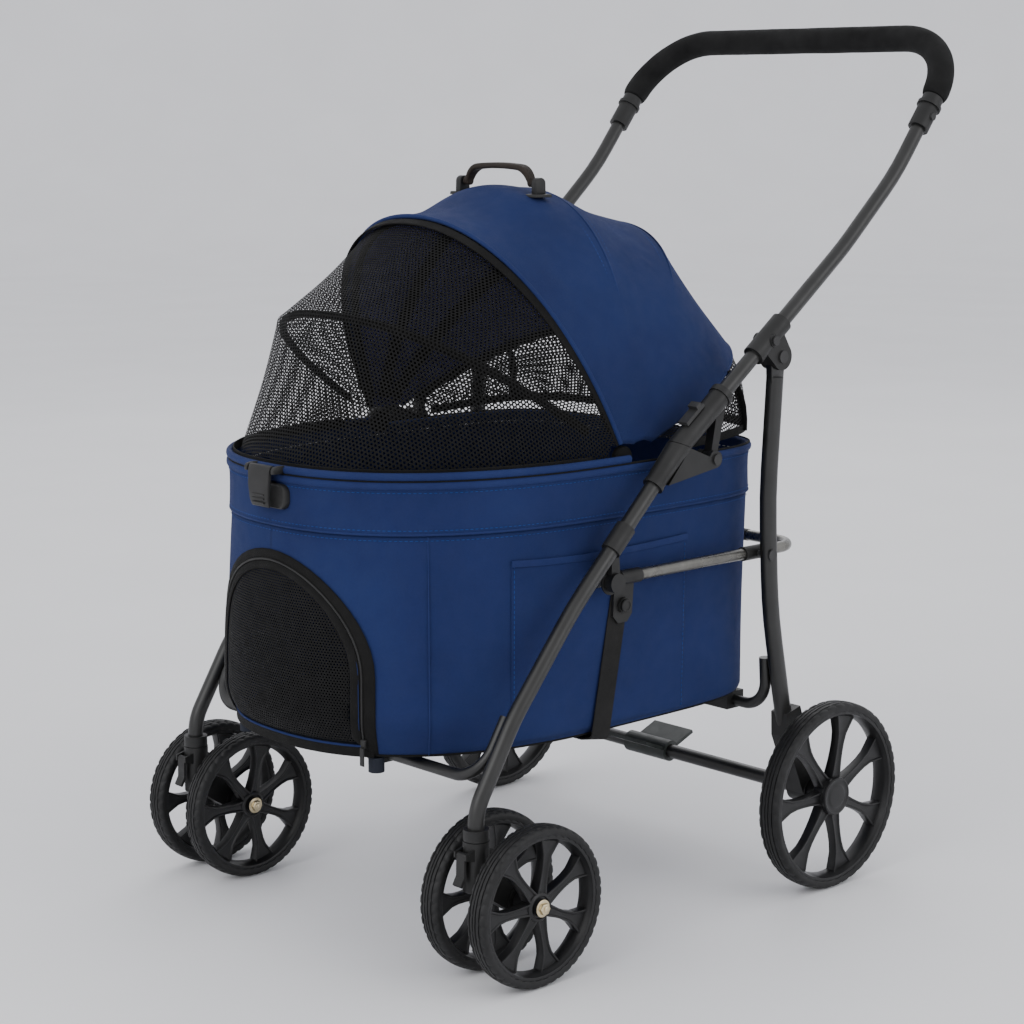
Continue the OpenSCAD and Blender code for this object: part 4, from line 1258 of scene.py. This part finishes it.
def make_hood():
    hood = canopy_sheet("hood_cloth", 21.5, 115.5, 84, 0.4, 1.3, waves=1.5)
    done(hood, "blue", "carrier", "blue_cloth", "hood")
    lining = canopy_sheet("hood_lining", 22.5, 114.5, 84, 1.7, 0.5, waves=1.5)
    done(lining, "lining", "carrier", "blue_cloth")
    edge = sweep("hood_front_piping", bow_path(115, 0.2), circle_section(2.4 * MM, 12))
    done(edge, "blue_edge", "carrier", "blue_cloth")
    hem = sweep("hood_rear_piping", bow_path(22, 0.2), circle_section(1.7 * MM, 10))
    done(hem, "blue_edge", "carrier", "blue_cloth")
    seams = []
    for a in (52, 80):
        seams.append(sweep("seam", bow_path(a, 0.1), oval_section(2.4 * MM, 1.1 * MM, 0.5 * MM),
                           up=bow_up(a)))
    done(join("hood_seams", seams), "blue_edge", "carrier", "blue_cloth")
    rows = []
    for a in (49.6, 54.4, 77.6, 82.4, 112.6):
        path = [canopy(a, t, 0.0) for t in even_t(a, 300, 6)[0]]
        rows.append(stitches("row", path, 0.0034, 0.0016, 0.00030))
    done(join("hood_stitches", rows), "stitch_blue", "carrier", "blue_cloth")
    ribs = []
    for a, wide, deep in ((23.2, 9, 8.0), (52, 14, 6.8), (80, 14, 6.8), (113.8, 9, 8.0)):
        ribs.append(sweep("rib", bow_path(a, deep, low=6),
                          oval_section(wide * MM, 5 * MM, 2.3 * MM), up=bow_up(a)))
    for s in (-1, 1):
        ribs.append(lathe("boss", [(0, 0), (0, 11), (1.2, 12), (6.4, 12), (8, 10.5), (8, 0)],
                          at(186 if s > 0 else -194, PIVOT[0], PIVOT[1]), steps=40,
                          closed=False))
    done(join("hood_ribs", ribs), "binding", "carrier", "black_binding", "hood_bows")


def make_nets():
    def canopy_net(name, a0, a1, pitch):
        mid = (a0 + a1) / 2
        ts, length = even_t(mid, 700, 3.0)
        heights = [canopy_height(mid, t) for t in ts]

        def where(u):
            f = min(max(u / length * 700, 0), 699.999)
            k = int(f)
            return (ts[k] + (ts[k + 1] - ts[k]) * (f - k),
                    heights[k] + (heights[k + 1] - heights[k]) * (f - k))

        def place(u, v):
            t, h = where(u)
            a = mid + degrees(v / max(h, 8.0))
            return canopy(min(max(a, a0), a1), t, 1.2)

        def keep(u, v):
            if not 2 < u < length - 2:
                return False
            h = where(u)[1]
            a = mid + degrees(v / max(h, 8.0))
            return a0 + 0.2 < a < a1 - 0.2 and h > 14

        half = radians((a1 - a0) / 2) * 290
        cells = hex_cells(0, length, -half, half, pitch, 0.92, keep)
        return net_mesh(name, place, cells, 0.57)

    front = canopy_net("front_net", 114, 179.2, 4.3)
    front.data.materials.append(MAT["net"])
    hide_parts("mesh_front")
    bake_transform(front)
    done(canopy_net("rear_net", 2, 23, 4.3), "net", "carrier", "black_mesh", "rear_mesh")
    bow = sweep("net_middle_bow", bow_path(147, 7.5, low=9),
                oval_section(8 * MM, 7 * MM, 3.4 * MM), up=bow_up(147))
    done(bow, "binding", "middle_bow", "black_binding", "mesh_bow")
    edge = sweep("net_front_hem", bow_path(117.2, 1.6), oval_section(9 * MM, 1.8 * MM, 0.8 * MM),
                 up=bow_up(117.2))
    done(edge, "binding", "carrier", "black_binding")
    ties = []
    for t in (radians(36), radians(144)):
        path = [canopy(a, t, 0.6) for a in (2.5, 6, 10, 14, 18, 22)]
        ties.append(sweep("tie", path, oval_section(11 * MM, 1.8 * MM, 0.8 * MM), up=(1, 0, 0)))
    hem = [canopy(3.2, t, 0.6) for t in even_t(3.2, 110, 3)[0]]
    ties.append(sweep("hem", hem, oval_section(9 * MM, 2.0 * MM, 0.9 * MM), up=bow_up(0)))
    done(join("rear_net_binding", ties), "binding", "carrier", "black_binding")


RING_STEPS = 880


def make_ring():
    """The zip ring that closes on the rim's front half, its tape and the buckle's lugs."""
    path = ring_path(RING_Z + 4, 1.4, RING_STEPS)
    k = next(i for i in range(RING_STEPS) if path[i].y >= PIVOT[0] * MM - MID_Y)
    front = [path[i] for i in range(-k + 1, k)]
    ring = sweep("canopy_ring_piping", front[::2] + [front[-1]],
                 oval_section(7.8 * MM, 7.4 * MM, 3.6 * MM), up=(0, 0, 1))
    done(ring, "blue_edge", "canopy_front", "blue_cloth", "front_ring")
    inner = [wall_point(OUTLINE_LENGTH * i / RING_STEPS, RING_Z + 6, -2.6)
             for i in range(28 - k, k - 27)]
    tape = sweep("canopy_ring_tape", inner[::2], oval_section(9 * MM, 1.6 * MM, 0.7 * MM),
                 up=(0, 0, 1))
    done(tape, "binding", "canopy_front", "black_binding")
    lugs = []
    for s in (-1, 1):
        lug = prism("lug", [(-78, 483), (-62, 483), (-62, 490.2), (-71, 490.6), (-76, 489.6),
                            (-78, 487)], s * 21.1 - 2.4, s * 21.1 + 2.4)
        lugs.append(rounded(lug, 0.6))
    done(join("buckle_lugs", lugs), "plastic", "canopy_front", "black_plastic")


def make_carry_handle():
    loop_y, loop_z = 241, 755.65
    path = [at(p.x, loop_y, loop_z + p.y + 3.5 * (1 - (p.x / 49) ** 2)) for p in dense(fillet(
        [(49, -2), (42, 13.5), (-42, 13.5), (-49, -2)], [18, 18], 6), 3)]

    def swell(u):
        return 0.62 + 0.38 * min(1.0, min(u, 1 - u) / 0.16) ** 0.6

    grip = sweep("carry_handle_grip", path, oval_section(6.2 * MM, 14 * MM, 2.9 * MM, 6),
                 up=lambda p: Vector((0, 0, 1)) if abs(p.x) < 0.036 else Vector((p.x, 0, 0)),
                 scale=swell)
    knuckles = []
    for s in (-1, 1):
        knuckles.append(lathe("knuckle", [(-4.5, 0), (-4.5, 3.6), (-3.6, 4.4), (3.6, 4.4),
                                          (4.5, 3.6), (4.5, 0)],
                              at(s * 49.5, loop_y, loop_z), steps=32, closed=False))
        knuckles.append(sweep("pin", [at(s * 48, loop_y, loop_z), at(s * 62, loop_y, loop_z)],
                              circle_section(2.4 * MM, 16)))
    done(join("carry_handle_grip", [grip] + knuckles), "grip", "top_handle", "handle_cloth",
         "carry_handle")
    tabs = []
    for s in (-1, 1):
        outline = [(loop_y - 7, 742.5), (loop_y + 7, 742.5), (loop_y + 6.6, loop_z)]
        outline += [(loop_y + 6.6 * cos(radians(a)), loop_z + 5.6 * sin(radians(a)))
                    for a in range(15, 166, 15)] + [(loop_y - 6.6, loop_z)]
        tab = prism("tab", outline, s * 58.5 - 3.8, s * 58.5 + 3.8)
        tabs.append(rounded(tab, 0.7))
        base = prism("base", [(loop_y - 11, 741.2), (loop_y + 11, 741.2), (loop_y + 10, 744.6),
                              (loop_y - 10, 744.6)], s * 58.5 - 9, s * 58.5 + 9)
        tabs.append(rounded(base, 0.8))
    done(join("carry_handle_tabs", tabs), "plastic", "carrier", "black_plastic")


STRAP_X = 201.05


def make_strap():
    """The sling under the carrier and up both sides to the bar, with its snaps."""
    base = (192, FLOOR_Z - 3.6)
    angle = radians(79.4)
    path = [on_slope(p.x, p.y, base, angle)
            for p in dense(fillet([(STRAP_X, 152), (STRAP_X, 0), (-STRAP_X, 0), (-STRAP_X, 152)],
                                  [6, 6], 8), 8)]
    strap = sweep("sling_webbing", path, oval_section(25 * MM, 1.5 * MM, 0.6 * MM, 3),
                  up=lambda p: Vector((0, 1, 0)) if abs(p.x) < 0.19
                  else Vector((0, sin(angle), -cos(angle))))
    done(strap, "webbing", "side_bar_frame", "webbing", "sling_strap")
    snaps = []
    for s in (-1, 1):
        snap = lathe("snap", [(0, 0), (0, 6.4), (0.8, 6.8), (1.6, 6.2), (1.8, 4.6), (1.2, 4.2),
                              (1.2, 0)], steps=40, closed=False)
        snaps.append(placed(snap, at(s * 209.4, 220, 340), s))
    done(join("sling_snaps", snaps), "plastic", "side_bar_frame", "black_plastic")


make_hood()
make_nets()
make_ring()
make_carry_handle()
make_strap()
